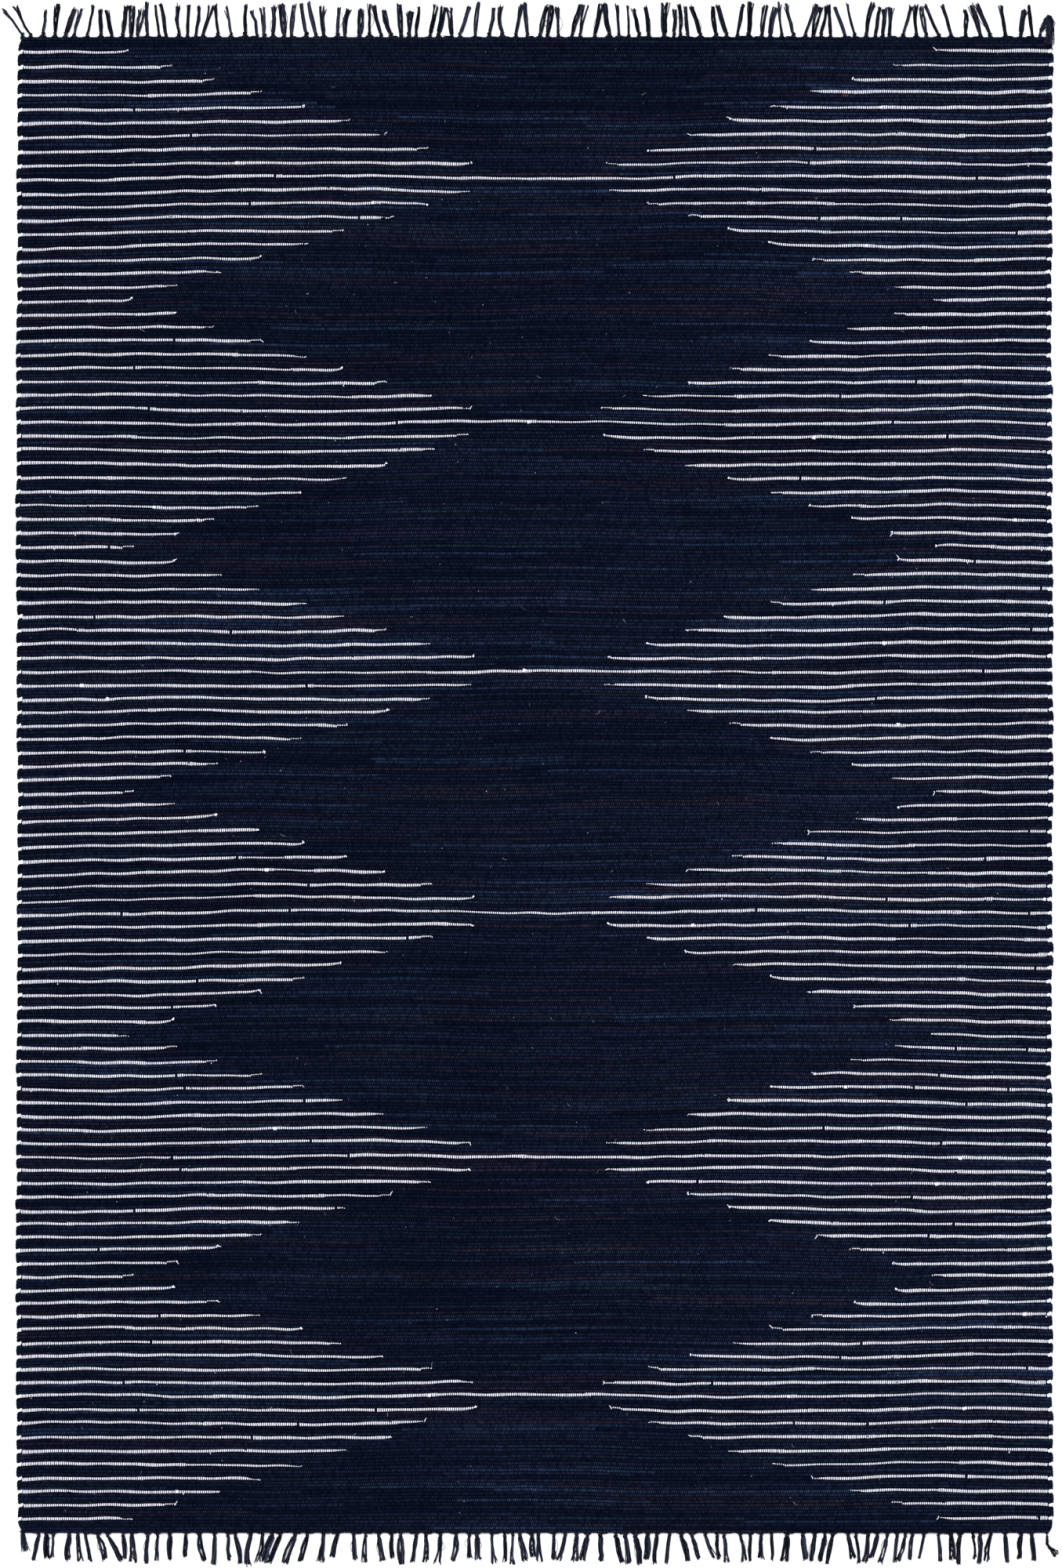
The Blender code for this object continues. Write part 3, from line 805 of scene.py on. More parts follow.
# %% Bars of one part of a row
def bars_of(row, start, end, free_ends):
    """The bars of one part of a pale row, its strips, and the kind and rise of its free ends."""
    strips = strips_along(start, end)
    swell, stray = drawn_waves(SWELL_RATES), drawn_waves(STRAY_RATES)
    tips = {
        side: (rags.choice(KIND_CHOICES), rags.choice(RISE_CHOICES) * rags.uniform(0.7, 1.3))
        for side in free_ends
    }
    edge_rise = {side: rags.uniform(*bounds) for side, bounds in EDGE_RISE.items()}
    first, last = np.interp([start, end], STATIONS, BAR_NUMBERS)
    middles = np.arange(math.ceil(first - 0.4), math.floor(last - 0.6) + 1) + 0.5
    made = []
    for x in np.interp(middles, BAR_NUMBERS, STATIONS).tolist():
        pitch = float(bar_pitch(x))
        rag = strip_at(x, strips, pitch)
        if rag is None:
            continue
        thick, lift, tilt = rag
        thick *= 1 + wave_at(x, SWELL, swell)
        thick *= 1 + rags.gauss(0, 0.03) + sum(
            share * near_selvedge(x, side, reach) for side, (share, reach) in PLUMP.items()
        )
        lift += wave_at(x, STRAY, stray)
        tilt += BAR_LEAN - LEAN_LOST * (x / WIDTH + 0.5) + rags.gauss(0, 2.5)
        for side, (kind, rise) in tips.items():
            slim, up, slant = free_end((end - x) if side > 0 else (x - start), kind, rise)
            thick, lift, tilt = thick * slim, lift + up, tilt - rise * side * slant
        for side, rise in edge_rise.items():
            lift += rise * near_selvedge(x, side, EDGE_REACH)
        wide, shade = pitch * BAR_SHARE * rags.uniform(0.94, 1.06), rags.gauss(0.91, 0.07)
        top = BAR_TOP + THICK_RISE * (thick - 1) + rags.gauss(0, 0.00006)
        made.append((
            x + rags.gauss(0, 0.00007), row["y"] + lift, (BAR_FOOT + top) / 2,
            wide, BAR_LENGTH * thick, top - BAR_FOOT, tilt, min(1.0, shade),
        ))
    return made, strips, tips


# %% Knots, tufts and nicks
KNOT_TALL, TAIL_THICK, DARK = 0.0046, 0.0028, 0.1  # DARK is a shade of the navy yarn


def knot_lumps(x, y, size):
    """A knot is two plump bights crossed over each other."""
    turn = rags.uniform(20, 60)
    other = turn - rags.uniform(70, 100)
    return [
        (x, y, THICKNESS, size * 1.25, size * 0.62, KNOT_TALL, turn, 1.0),
        (x, y, THICKNESS - 0.0002, size * 1.2, size * 0.6, KNOT_TALL, other, 0.95),
    ]


def tuft_lumps(x, y, side, kind):
    """The torn tip of a rag: a few small scraps, and at times a loose end."""
    made = []
    count, out, aside, size = TUFTS[kind]
    for _ in range(count):
        reach, turn = rags.uniform(0.0, out), rags.uniform(-60, 60)
        made.append((
            x + side * reach, y + rags.gauss(0, aside), THICKNESS + 0.0002,
            size * rags.uniform(0.0012, 0.0024), size * rags.uniform(0.0009, 0.0015), 0.0018,
            turn, 1.0,
        ))
    if rags.random() < 0.22:
        long, turn = rags.uniform(0.004, 0.009), rags.uniform(-70, 70)
        out, aside = (side * 0.42 * long * part(math.radians(turn)) for part in (math.cos, math.sin))
        made.append((x + out, y + aside, THICKNESS + 0.0003, long, 0.0012, 0.0016, turn, 0.95))
    return made


def loose_parts(row, start, end, strips, tips):
    """What lies on one part of a pale row: its pale lumps and its dark ones."""
    y, pale, dark = row["y"], [], []
    for place, _, lift, _, breaks in strips[1:]:
        chance, up = rags.random(), rags.choice((-1, 1))
        if chance < KNOT_CHANCE and not breaks:
            pale += knot_lumps(place, y + lift, rags.uniform(0.0046, 0.0062))
        elif chance < KNOT_CHANCE + NICK_CHANCE:  # a nick where the end of a strip goes under
            dark.append((
                place, y + up * rags.uniform(0.0014, 0.0027), THICKNESS + 0.0003,
                rags.uniform(0.0024, 0.0050), rags.uniform(0.0014, 0.0026), 0.0028,
                rags.uniform(-20, 20), DARK,
            ))
    for side, (kind, rise) in tips.items():
        tip, lift = end if side > 0 else start, rise * FREE_ENDS[kind][2][0]
        pale += tuft_lumps(tip, y + lift, side, kind)
        if kind < TAILS:  # the navy rag that takes over lies against the thin tail
            back = rags.uniform(0.004, 0.012)
            dark.append((
                tip - side * back, y - math.copysign(0.0014, lift), THICKNESS,
                rags.uniform(0.006, 0.010), TAIL_THICK, 0.0026, rags.uniform(-8, 8), DARK,
            ))
    if rags.random() < SCRAP_CHANCE:  # a scrap that hangs out beside the row
        pale.append((
            rags.uniform(start, end), y - rags.uniform(0.0028, 0.0038), THICKNESS,
            0.0016, rags.uniform(0.002, 0.0034), 0.0022, rags.uniform(-20, 20), 0.95,
        ))
    return pale, dark


print("scraps in a tuft:", [count for count, _, _, _ in TUFTS])

# %% Turns at the selvedges
LOOP_REACH = {-1: 0.0050, 1: 0.0058}  # how far a turn reaches in from each selvedge
LOOP_LEAN = {-1: (2, 14), 1: (10, 26)}
CREST_INSIDE = {-1: 0.30, 1: 0.26}  # where the frayed crest lies, as a share of the loop's width


def turn_of(row, side, edge):
    """The plump loop where a pale rag goes round the last warp thread, and its frayed crest."""
    wide = LOOP_REACH[side] * rags.uniform(0.96, 1.10) + 0.0009
    tall, tilt = rags.uniform(0.0046, 0.0060), rags.uniform(*LOOP_LEAN[side])
    x, y = edge - side * (wide * 0.5 - 0.0003), row["y"] + rags.uniform(0.0001, 0.0009)
    crest, crest_x = rags.uniform(0.0020, 0.0036), x + CREST_INSIDE[side] * wide
    crest_turn = rags.uniform(20, 70)
    return [
        (x, y, 0.0034, wide, tall, 0.0056, tilt, 1.0),
        (crest_x, y + tall * 0.36, 0.0044, crest * 1.2, crest, 0.0032, crest_turn, 1.0),
    ]


print("turns:", 2 * len(PALE))

# %% Every pale row
bars, lumps, turns, nicks = [], [], [], []
for row in PALE:
    edges = [float(np.interp(row["y"], EDGE_Y, EDGE_X[:, side])) for side in (0, 1)]
    start, end = edges[0] + NOTCH + LOOP_REACH[-1], edges[1] - NOTCH - LOOP_REACH[1]
    parts = [(start, row["left"], (1,)), (row["right"], end, (-1,))]
    if row["full"]:
        parts = [(start, end, ())]
    for part in parts:
        made, strips, tips = bars_of(row, *part)
        pale, dark = loose_parts(row, *part[:2], strips, tips)
        bars, lumps, nicks = bars + made, lumps + pale, nicks + dark
    turns += turn_of(row, -1, edges[0] + NOTCH * 0.4) + turn_of(row, 1, edges[1] - NOTCH * 0.4)
print("bars:", len(bars), "lumps:", len(lumps), "turns:", len(turns), "nicks:", len(nicks))


# %% Pale rows in four meshes, each under the size that an exporter thins
def follow_rows(copies):
    """Moves the copies up and down with the rows that they lie on."""
    copies = np.array(copies)
    copies[:, 1] += row_wander(copies[:, 0], copies[:, 1])
    return copies


bars, lumps, turns, nicks = (follow_rows(copies) for copies in (bars, lumps, turns, nicks))
for across_name, side in (("left", -1), ("right", 1)):
    for along_name, end in (("top", 1), ("bottom", -1)):
        batches = []
        for shape, copies in ((BAR, bars), (FINE_LUMP, lumps), (BIGHT, turns)):
            here = (np.sign(copies[:, 0] + 1e-9) == side) & (np.sign(copies[:, 1] + 1e-9) == end)
            batches.append(stand(shape, copies[here]))
        name = f"off_white_rows_{across_name}_{along_name}"
        joined(name, batches, OFF_WHITE, "off_white_rag")

# %% [markdown]
# ## The knotted warp ends
# At each end of the cloth the warp threads are gathered in bunches and knotted. Each bunch fans in
# to its knot, so the cloth's end looks scalloped, and past the knot the threads lie on the floor
# side by side, twist a little and open at the tip.
#
# Hair or curves would draw such threads, but they export as a tangle of separate strips. Here one
# thread is a grid rolled into a tube and drawn to a point at both ends, and each copy is bent along
# its own path.

# %% Sizes of the fringe, as in the solid model
TOP_FRINGE = dict(  # leans are in degrees, and last is the last bunch's lean and thickness
    count=94, length=0.0450, spread=0.0036, seed=21, flare=0.0068,
    first_leans=(-38.0, -30.0), last=(0.0, 1.5),
)
BOTTOM_FRINGE = dict(count=88, length=0.0395, spread=0.0036, seed=22, flare=0.0080, last=(24.0, 1.0))
MOST_SPREADS = 1.6
CLEAR, STRIP_DEPTH, SIDE_ROOM = 0.0003, 0.0030, 0.0080
ROOT_AT = LENGTH / 2 + CLEAR + STRIP_DEPTH  # the bunches leave the strip here
KNOT_WIDTH, KNOT_HEIGHT, KNOT_AT = 0.0066, 0.0058, 0.0018
NECK_HEIGHT, NECK_AT, TIP_HEIGHT = 0.0042, 0.0064, 0.0028
CLOSEST_ROOTS, STRAND_GAP = 0.0098, 0.0009
LEAST_THICK, MOST_THICK = 0.78, 1.22
LEAN_DRIFT, LEAN_SPREAD, MOST_LEAN, LEAN_KEPT = 8.0, 6.0, 26.0, 0.6


def tassels(count, length, spread, seed, flare, first_leans=(), last=()):
    """Roots, tips, lengths, thicknesses and tip widths of one end's bunches, from left to right."""
    draw = random.Random(seed)
    gaps = [draw.random() for _ in range(count - 1)]
    room = WIDTH - 2 * SIDE_ROOM - CLOSEST_ROOTS * (count - 1)
    made = []
    root, drift = -WIDTH / 2 + SIDE_ROOM, 0.0
    for index in range(count):
        reach = min(draw.gauss(length, spread), length + MOST_SPREADS * spread)
        thick = draw.uniform(LEAST_THICK, MOST_THICK)
        drift = LEAN_KEPT * drift + draw.gauss(0, LEAN_DRIFT)
        lean = max(-MOST_LEAN, min(MOST_LEAN, drift + draw.gauss(0, LEAN_SPREAD)))
        if index < len(first_leans):
            lean = first_leans[index]
        if index == count - 1:
            lean, thick = last
        tip = root + math.tan(math.radians(lean)) * reach
        if made:
            before = made[-1]
            tip = max(tip, before["tip"] + flare * (before["thick"] + thick) / 2 + STRAND_GAP)
        sizes = {"reach": reach, "thick": thick, "flare": flare * thick}
        made.append({"root": root, "tip": tip, **sizes})
        if index < count - 1:
            root += CLOSEST_ROOTS + room * gaps[index] / sum(gaps)
    return made


BUNCHES = {1: tassels(**TOP_FRINGE), -1: tassels(**BOTTOM_FRINGE)}
print("bunches:", len(BUNCHES[1]), "at the top,", len(BUNCHES[-1]), "at the bottom")

# %% Warp yarn: two-ply dyed cotton, dull, each thread a little lighter or darker
DARK_YARN, LIGHT_YARN = "#030409", "#3C4157"
PLY = 0.0022  # one turn of the two plies, drawn about twice as long as it is, so that it shows


def warp_yarn():
    made, tree, shader = cotton("warp_yarn", 0.9)
    shade = add(tree, "ShaderNodeAttribute", out=2, attribute_name="shade")
    chart = add(tree, "ShaderNodeUVMap", uv_map="strand")
    pair = add(tree, "ShaderNodeSeparateXYZ", {0: chart}, out=None)
    around, along = pair.outputs[0], pair.outputs[1]
    winding = add(tree, MATHS, {0: along, 1: 1 / PLY, 2: around}, operation="MULTIPLY_ADD")
    ply = add(tree, MATHS, {0: winding, 1: 0.5}, operation="PINGPONG")
    where = add(tree, "ShaderNodeTexCoord", out=3)
    fibre = add(tree, "ShaderNodeTexNoise", {"Vector": where, "Scale": 420.0, "Detail": 2.0})
    # Painted shade: each ply is lighter on its crown and darker where it meets the other one
    painted_ply_shade = add(tree, MATHS, {0: ply, 1: 0.5, 2: -0.12}, operation="MULTIPLY_ADD")
    patchy = add(tree, MATHS, {0: fibre, 1: 0.7, 2: -0.35}, operation="MULTIPLY_ADD")
    both = add(tree, MATHS, {0: painted_ply_shade, 1: patchy}, operation="ADD")
    level = add(tree, MATHS, {0: shade, 1: both}, operation="ADD", use_clamp=True)
    colour = add(tree, "ShaderNodeMix", {0: level, 6: paint(DARK_YARN), 7: paint(LIGHT_YARN)},
                 out=2, data_type="RGBA")
    bump = add(tree, "ShaderNodeBump", {"Height": ply, "Strength": 0.6, "Distance": 0.0005})
    tree.links.new(colour, shader.inputs["Base Color"])
    tree.links.new(bump, shader.inputs["Normal"])
    return made


YARN = warp_yarn()
print("warp yarn:", len(YARN.node_tree.nodes), "nodes")


# %% A thread that can be bent
def thread(sides, rings):
    """A tube of rings a unit apart, drawn to a point at both ends. A ring's number is its z."""
    bm = bmesh.new()
    bm.loops.layers.uv.new("chart")
    bmesh.ops.create_grid(bm, x_segments=sides, y_segments=rings - 1, size=1.0, calc_uvs=True)
    for index, vert in enumerate(bm.verts):
        ring, side = divmod(index, sides + 1)
        angle = 2 * math.pi * side / sides
        wide = 0.0 if ring in (0, rings - 1) else 1.0
        vert.co = (wide * math.cos(angle), wide * math.sin(angle), ring)
    bmesh.ops.remove_doubles(bm, verts=bm.verts, dist=1e-5)
    return shape_of(bm)


def bend(shape, paths, radii, shades, upright=(0, 0, 1)):
    """Copies of a thread, each along its own path, with a radius at each of the path's points."""
    paths, radii = np.asarray(paths, float), np.asarray(radii, float)
    along = np.gradient(paths, axis=1)
    along /= np.linalg.norm(along, axis=2, keepdims=True)
    side = np.cross(np.array(upright, float), along)
    side /= np.linalg.norm(side, axis=2, keepdims=True)
    over = np.cross(along, side)
    ring = np.rint(shape["points"][:, 2]).astype(int)
    x, y = shape["points"][:, 0], shape["points"][:, 1]
    outwards = x[:, None] * side[:, ring] + y[:, None] * over[:, ring]
    moved = paths[:, ring] + radii[:, ring, None] * outwards
    length = np.linalg.norm(np.diff(paths, axis=1), axis=2).sum(1)
    return {"shape": shape, "points": moved, "shade": np.asarray(shades, float), "length": length}


def bend_even(shape, paths, radius, shades, **more):
    """Copies of a thread that have one radius all along but for their pointed ends."""
    radii = [0.0] + [radius] * (len(paths[0]) - 2) + [0.0]
    return bend(shape, paths, [radii] * len(paths), np.full(len(paths), shades), **more)


HAIR_STEPS, WRAP_STEPS = 6, 12
HAIR_TUBE, WRAP_TUBE = thread(3, HAIR_STEPS + 1), thread(4, WRAP_STEPS + 1)
print("faces: hair", len(HAIR_TUBE["sizes"]), "wrap", len(WRAP_TUBE["sizes"]))

# %% Paths of the yarns in one bunch
YARNS, YARN_RADIUS = 12, 0.00088  # in a bunch of usual thickness
WIDEST_FOOT = 0.0085  # how far from its bunch's root a yarn may leave the cloth
FULLNESS = {1: 1.03, -1: 0.99}  # how wide the bunches lie, as a share of the solid's tips
LIGHTER = {1: 0.01, -1: 0.05}  # how much lighter the yarn is at each end
GOLDEN_TURN = math.pi * (3 - math.sqrt(5))  # fills a round bunch evenly
SWIRL = 0.0011  # how far a yarn lies from the middle of the knot
FRAYED_CHANCE, PALE_CHANCE, PALER = 0.19, 0.25, 0.4  # of one yarn, and how much lighter it is
# A yarn's points up to its knot: the share of its place at the foot and of its swirl, how far out
# it is, the share of the knot's own place in that, and its height
FOOT = (
    (1.00, 0.0, -0.0080, 0.0, 0.0034), (0.97, 0.0, -0.0042, 0.0, 0.0036),
    (0.64, 0.0, -0.0030, 0.5, 0.0033), (0.24, 0.5, -0.0020, 1.0, 0.0030),
    (0.06, 1.0, 0.0, 1.0, 0.0030),
)
FOOT_RADII, TIP_RADII = (0, 1, 1, 0.95, 0.9), (0.92, 0)  # as shares, and 1 in between
SHARES = (0.0, 0.24, 0.5, 0.75, 0.985, 1.0)  # and its points from its neck to its tip
OUTLINE = ((0.0, 0.18, 1.0), (1.00, 1.08, 0.98))  # how wide a bunch is from its neck to its tip
YARN_TUBE = thread(5, len(FOOT) + len(SHARES))
twine = random.Random(51)


def dress(bunch, outward):
    """What is this bunch's own: how it bows, twists and opens, and where it is knotted."""
    return {
        "count": round(YARNS * bunch["thick"]), "bow": twine.gauss(0, 0.0009),
        "wave": (twine.gauss(0, 0.00035), twine.uniform(5, 9), twine.uniform(0, 6)),
        "twist": twine.uniform(-1.6, 1.6), "opening": FULLNESS[outward] * twine.uniform(0.70, 1.26),
        "split": twine.uniform(0.0008, 0.0026) if twine.random() < 0.30 else 0.0,
        "slit": twine.uniform(0.0005, 0.0013) if twine.random() < 0.34 else 0.0,
        "stray": 0.0003, "shade": twine.uniform(0.0, 0.14) + LIGHTER[outward],
        "knot": KNOT_AT + twine.uniform(-0.0030, 0.0008), "lie": twine.gauss(0, 0.0014),
        "foot": twine.uniform(0.35, 1.0), "short": 0.0, "line": None, "tube": YARN_TUBE,
        "marks": SHARES, "girth": None, "yarn": YARN_RADIUS, "hairs": 3,
    }


def width_at(bunch, share):
    """How wide a bunch is at this share of its length."""
    girth = bunch["own"]["girth"]
    if girth:
        return float(np.interp(share, np.linspace(0, 1, len(girth)), girth))
    return bunch["flare"] * bunch["own"]["opening"] * float(np.interp(share, *OUTLINE))


def off_middle(bunch, share, yarn):
    """How far aside and up from its bunch's middle line a yarn lies at this share of its length."""
    own, radius, inner = bunch["own"], yarn["radius"], yarn["inner"]
    size, rate, begin = own["wave"]
    turn = yarn["angle"] + own["twist"] * share
    aside = inner * max(0.0, width_at(bunch, share) / 2 - radius) * math.cos(turn)
    aside += own["bow"] * math.sin(math.pi * share) + own["lie"] * share**1.5
    aside += yarn["fray"] * share**3
    aside += size * (math.sin(rate * share + begin) - math.sin(begin))
    apart = own["split"] * share**2.5 + own["slit"] * math.sin(math.pi * share)
    aside += math.copysign(apart, math.cos(turn)) + twine.gauss(0, own["stray"]) * (share > 0)
    tall = (1 - share) * NECK_HEIGHT + share * TIP_HEIGHT
    up = tall / 2 + inner * max(0.0, tall / 2 - radius) * math.sin(turn)
    return aside, max(radius, up)


def laid_along(line, share, aside, up):
    """A yarn's place beside a line of x, y and z of the floor under it."""
    marks = np.linspace(0, 1, len(line))
    behind, further = (
        np.array([np.interp(min(1.0, at), marks, part) for part in zip(*line)])
        for at in (share - 0.05, share + 0.05)
    )
    middle, ahead = (behind + further) / 2, (further - behind)[:2]
    ahead /= np.linalg.norm(ahead)
    return middle[0] + ahead[1] * aside, middle[1] - ahead[0] * aside, middle[2] + up


def bunch_paths(bunch, outward, foot):
    """The yarns of one bunch: along the cloth's end, through the knot, then out to the tip."""
    own, root, base = bunch["own"], bunch["root"], outward * ROOT_AT
    neck = own["knot"] + NECK_AT - KNOT_AT
    run = math.hypot(bunch["tip"] - root, bunch["reach"])
    ahead = ((bunch["tip"] - root) / run, outward * bunch["reach"] / run)
    beside = (outward * ahead[1], -outward * ahead[0])
    paths, radii, shades = [], [], []
    for number in range(own["count"]):
        rank = (number + 0.5) / own["count"]
        spread = (2 * rank - 1) * own["foot"] * foot[0 if 2 * number < own["count"] else 1]
        fray, cut = twine.gauss(0, 0.0004), twine.gauss(0, 0.0009) - own["short"]
        if twine.random() < FRAYED_CHANCE:
            fray = twine.choice((-1, 1)) * twine.uniform(0.0015, 0.0042)
            cut += twine.gauss(0, 0.002)
        yarn = {"angle": GOLDEN_TURN * number, "inner": math.sqrt(rank), "fray": fray}
        yarn["radius"] = own["yarn"] * twine.uniform(0.82, 1.16)
        swirl = SWIRL * math.cos(yarn["angle"])
        path = [
            (root + spread * wide + swirl * part, base + outward * (out + own["knot"] * knot), up)
            for wide, part, out, knot, up in FOOT
        ]
        for share in own["marks"]:
            aside, up = off_middle(bunch, share, yarn)
            if own["line"]:
                path.append(laid_along(own["line"], share * (1 + 6 * cut), aside, up))
                continue
            reach = neck + share * (run - neck + cut)
            x, y = root + ahead[0] * reach, base + ahead[1] * reach
            path.append((x + beside[0] * aside, y + beside[1] * aside, up))
        paths.append(path)
        parts = (*FOOT_RADII, *[1] * (len(own["marks"]) - len(TIP_RADII)), *TIP_RADII)
        radii.append([yarn["radius"] * part for part in parts])
        bright = own["shade"] + twine.uniform(-0.1, 0.1)
        shades.append(bright + (PALER if twine.random() < PALE_CHANCE else 0.0))
    return paths, radii, shades


def knot_wrap(bunch, outward):
    """One turn of yarn round the knot."""
    y = outward * (ROOT_AT + bunch["own"]["knot"])
    wide, tall = KNOT_WIDTH * math.sqrt(bunch["thick"]) / 2, KNOT_HEIGHT / 2
    lean, begin = twine.choice((-1, 1)) * twine.uniform(0.0010, 0.0022), twine.uniform(0, 6)
    path = []
    for step in range(WRAP_STEPS + 1):
        angle = begin + 2.1 * math.pi * step / WRAP_STEPS
        x, z = math.cos(angle), math.sin(angle)
        path.append((bunch["root"] + 0.80 * wide * x, y + lean * x, tall + (tall - 0.0008) * z))
    return path


print("yarns in a bunch:", YARNS, "faces in a yarn:", len(YARN_TUBE["sizes"]))


# %% Threads between the bunches, and stray hairs
THREAD_RADIUS, SLACK_RADIUS, HAIR_RADIUS, WRAP_RADIUS = 0.00024, 0.00042, 0.00022, 0.0008
BULGE_CHANCE, LOOP_CHANCE, SLACK_CHANCE = 0.75, 0.22, 0.16  # for each bunch
BARE_CORNER = 0.018  # no rag bulges this near a corner


def scallop(left, right, outward):
    """A slack thread along the cloth's end from one bunch to the next."""
    base = outward * (LENGTH / 2 + 0.0006)
    sag = outward * twine.uniform(0.0000, 0.0010)
    start, end = left["root"] + 0.003, right["root"] - 0.003
    path = []
    for share in np.linspace(0, 1, HAIR_STEPS + 1):
        arch = math.sin(math.pi * share)
        y = base + sag * arch ** 2 + outward * 0.0010
        path.append((start + share * (end - start), y, 0.0030 + 0.0008 * arch))
    return path


def curl_from(x, y, outward, turn, long, curl, high=0.0026):
    """A fine loose fibre: from this place it curves away, down to the floor."""
    path = []
    for step in range(HAIR_STEPS + 1):
        path.append((x, y, 0.0012 + (high - 0.0012) * (1 - step / HAIR_STEPS)))
        x += math.sin(turn) * long / HAIR_STEPS
        y += outward * math.cos(turn) * long / HAIR_STEPS
        turn += curl / HAIR_STEPS
    return path


def along_bunch(bunch, outward, along):
    """A point on a bunch's middle line."""
    y = outward * ROOT_AT + outward * along * (bunch["reach"] - bunch["own"]["short"])
    return bunch["root"] + along * (bunch["tip"] - bunch["root"]), y


def slack_yarn(bunch, outward):
    """A yarn that has come loose and bows out beside its bunch."""
    side, out = twine.choice((-1, 1)), twine.uniform(0.003, 0.007)
    begin, stop = twine.uniform(0.02, 0.25), twine.uniform(0.5, 1.0)
    path = []
    for step in range(HAIR_STEPS + 1):
        share = step / HAIR_STEPS
        arch = math.sin(math.pi * share)
        x, y = along_bunch(bunch, outward, begin + share * (stop - begin))
        path.append((x + side * (0.001 + out * arch), y, 0.0022 - 0.0012 * arch))
    return path


def hairs_of(bunch, outward):
    """Fine ends at a bunch's tip, or all along one that has come undone."""
    own, made = bunch["own"], []
    for _ in range(own["hairs"]):
        if own["line"]:
            share, aside = twine.uniform(0.45, 1.0), twine.gauss(0, 0.25 * own["girth"][-1])
            x, y, z = laid_along(own["line"], share, aside, 0.002)
            turn, long = twine.uniform(0, 6.28), twine.uniform(0.003, 0.006)
            made.append(curl_from(x, y, outward, turn, long, twine.uniform(-2, 2), z + 0.0012))
        else:
            x, y = along_bunch(bunch, outward, twine.uniform(0.93, 0.99))
            lean = math.atan2(bunch["tip"] - bunch["root"], bunch["reach"])
            turn = lean + twine.gauss(0, 0.5)
            x, long = x + twine.gauss(0, 0.3 * bunch["flare"]), twine.uniform(0.003, 0.007)
            made.append(curl_from(x, y, outward, turn, long, twine.uniform(-1, 1)))
    return made


def fringe(name, outward, replaced):
    """One end's bunches with their knots, and the loose yarns and hairs among them."""
    bunches = BUNCHES[outward]
    yarns, wraps, knots, bumps, hairs = [], [], [], [], []
    for index, bunch in enumerate(bunches):
        root, sides = bunch["root"], []
        for other in (index - 1, index + 1):
            gap = abs(bunches[other]["root"] - root) if 0 <= other < len(bunches) else 0.009
            sides.append(min(WIDEST_FOOT, 0.5 * gap))
        yarns.append(bend(bunch["own"]["tube"], *bunch_paths(bunch, outward, sides)))
        if bunch["own"]["girth"] is None:
            wraps.append(knot_wrap(bunch, outward))
        wide = KNOT_WIDTH * math.sqrt(bunch["thick"])
        knots.append((
            root + twine.gauss(0, 0.0006), outward * (ROOT_AT + bunch["own"]["knot"]),
            KNOT_HEIGHT / 2, wide * twine.uniform(0.70, 1.12), twine.uniform(0.0044, 0.0066),
            KNOT_HEIGHT * 0.9, twine.uniform(-35, 35), twine.uniform(0.0, 0.15),
        ))
        if twine.random() < BULGE_CHANCE and abs(root) < WIDTH / 2 - BARE_CORNER:
            # The last rows of rag bulge a little between the bunches
            x = root + twine.uniform(-0.008, 0.008)
            y = outward * (LENGTH / 2 + twine.uniform(-0.0006, 0.0004))
            long, wide = twine.uniform(0.007, 0.016), twine.uniform(0.0022, 0.0044)
            bumps.append((x, y, 0.0030, long, wide, 0.0042, twine.uniform(-5, 5), DARK))
        hairs += hairs_of(bunch, outward)
    for _ in range(len(bunches)):
        x, y = along_bunch(twine.choice(bunches), outward, twine.uniform(0.1, 0.95))
        turn, long = twine.gauss(0, 0.9), twine.uniform(0.004, 0.011)
        hairs.append(curl_from(x, y, outward, turn, long, twine.uniform(-1.8, 1.8)))
    pairs = zip(bunches, bunches[1:])
    loops = [scallop(a, b, outward) for a, b in pairs if twine.random() < LOOP_CHANCE]
    slack = [slack_yarn(bunch, outward) for bunch in bunches[2:-1] if twine.random() < SLACK_CHANCE]
    wrap_shades = [twine.uniform(0.15, 0.5) for _ in wraps]
    return joined(name, [
        *yarns, bend_even(WRAP_TUBE, wraps, WRAP_RADIUS, wrap_shades, upright=(0, 1, 0)),
        bend_even(HAIR_TUBE, loops, THREAD_RADIUS, 0.1),
        bend_even(HAIR_TUBE, slack, SLACK_RADIUS, 0.3),
        bend_even(HAIR_TUBE, hairs, HAIR_RADIUS, 0.2),
        stand(FINE_LUMP, knots), stand(FINE_LUMP, bumps),
    ], YARN, "warp_fringe", replaced)


for end, bunches in BUNCHES.items():
    for bunch in bunches:
        bunch["own"] = dress(bunch, end)
parted = sum(bunch["own"]["split"] > 0 for bunch in BUNCHES[1] + BUNCHES[-1])
print("bunches that part in two:", parted)

# %% The corner bunches, each unlike the rest, and both fringes
LONG_MARKS = tuple(np.linspace(0, 1, 16))
LONG_TUBE = thread(5, len(FOOT) + len(LONG_MARKS))
CORNER_X, CORNER_Y = WIDTH / 2, LENGTH / 2


def from_corner(end, places):
    """Places given inwards and outwards from a right corner of the cloth, and up."""
    return [(CORNER_X - inwards, end * (CORNER_Y + out), up) for inwards, out, up in places]


splayed, folded = BUNCHES[1][0], BUNCHES[1][-1]
worn, bent = BUNCHES[-1][0], BUNCHES[-1][-1]
# The top left one leans far out and stays narrow, and the bottom left one is worn short
splayed["own"].update(opening=0.62, short=0.0020, bow=0.0006, lie=0.0006, slit=0.0, split=0.0)
worn["own"].update(
    count=24, short=0.0100, split=0.0, twist=1.4, shade=0.35, bow=0.0, knot=-0.0050, lie=0.0,
    girth=(0.0085, 0.0105, 0.0120, 0.0120), yarn=0.00044, foot=1.0, slit=0.0, stray=0.0005,
)
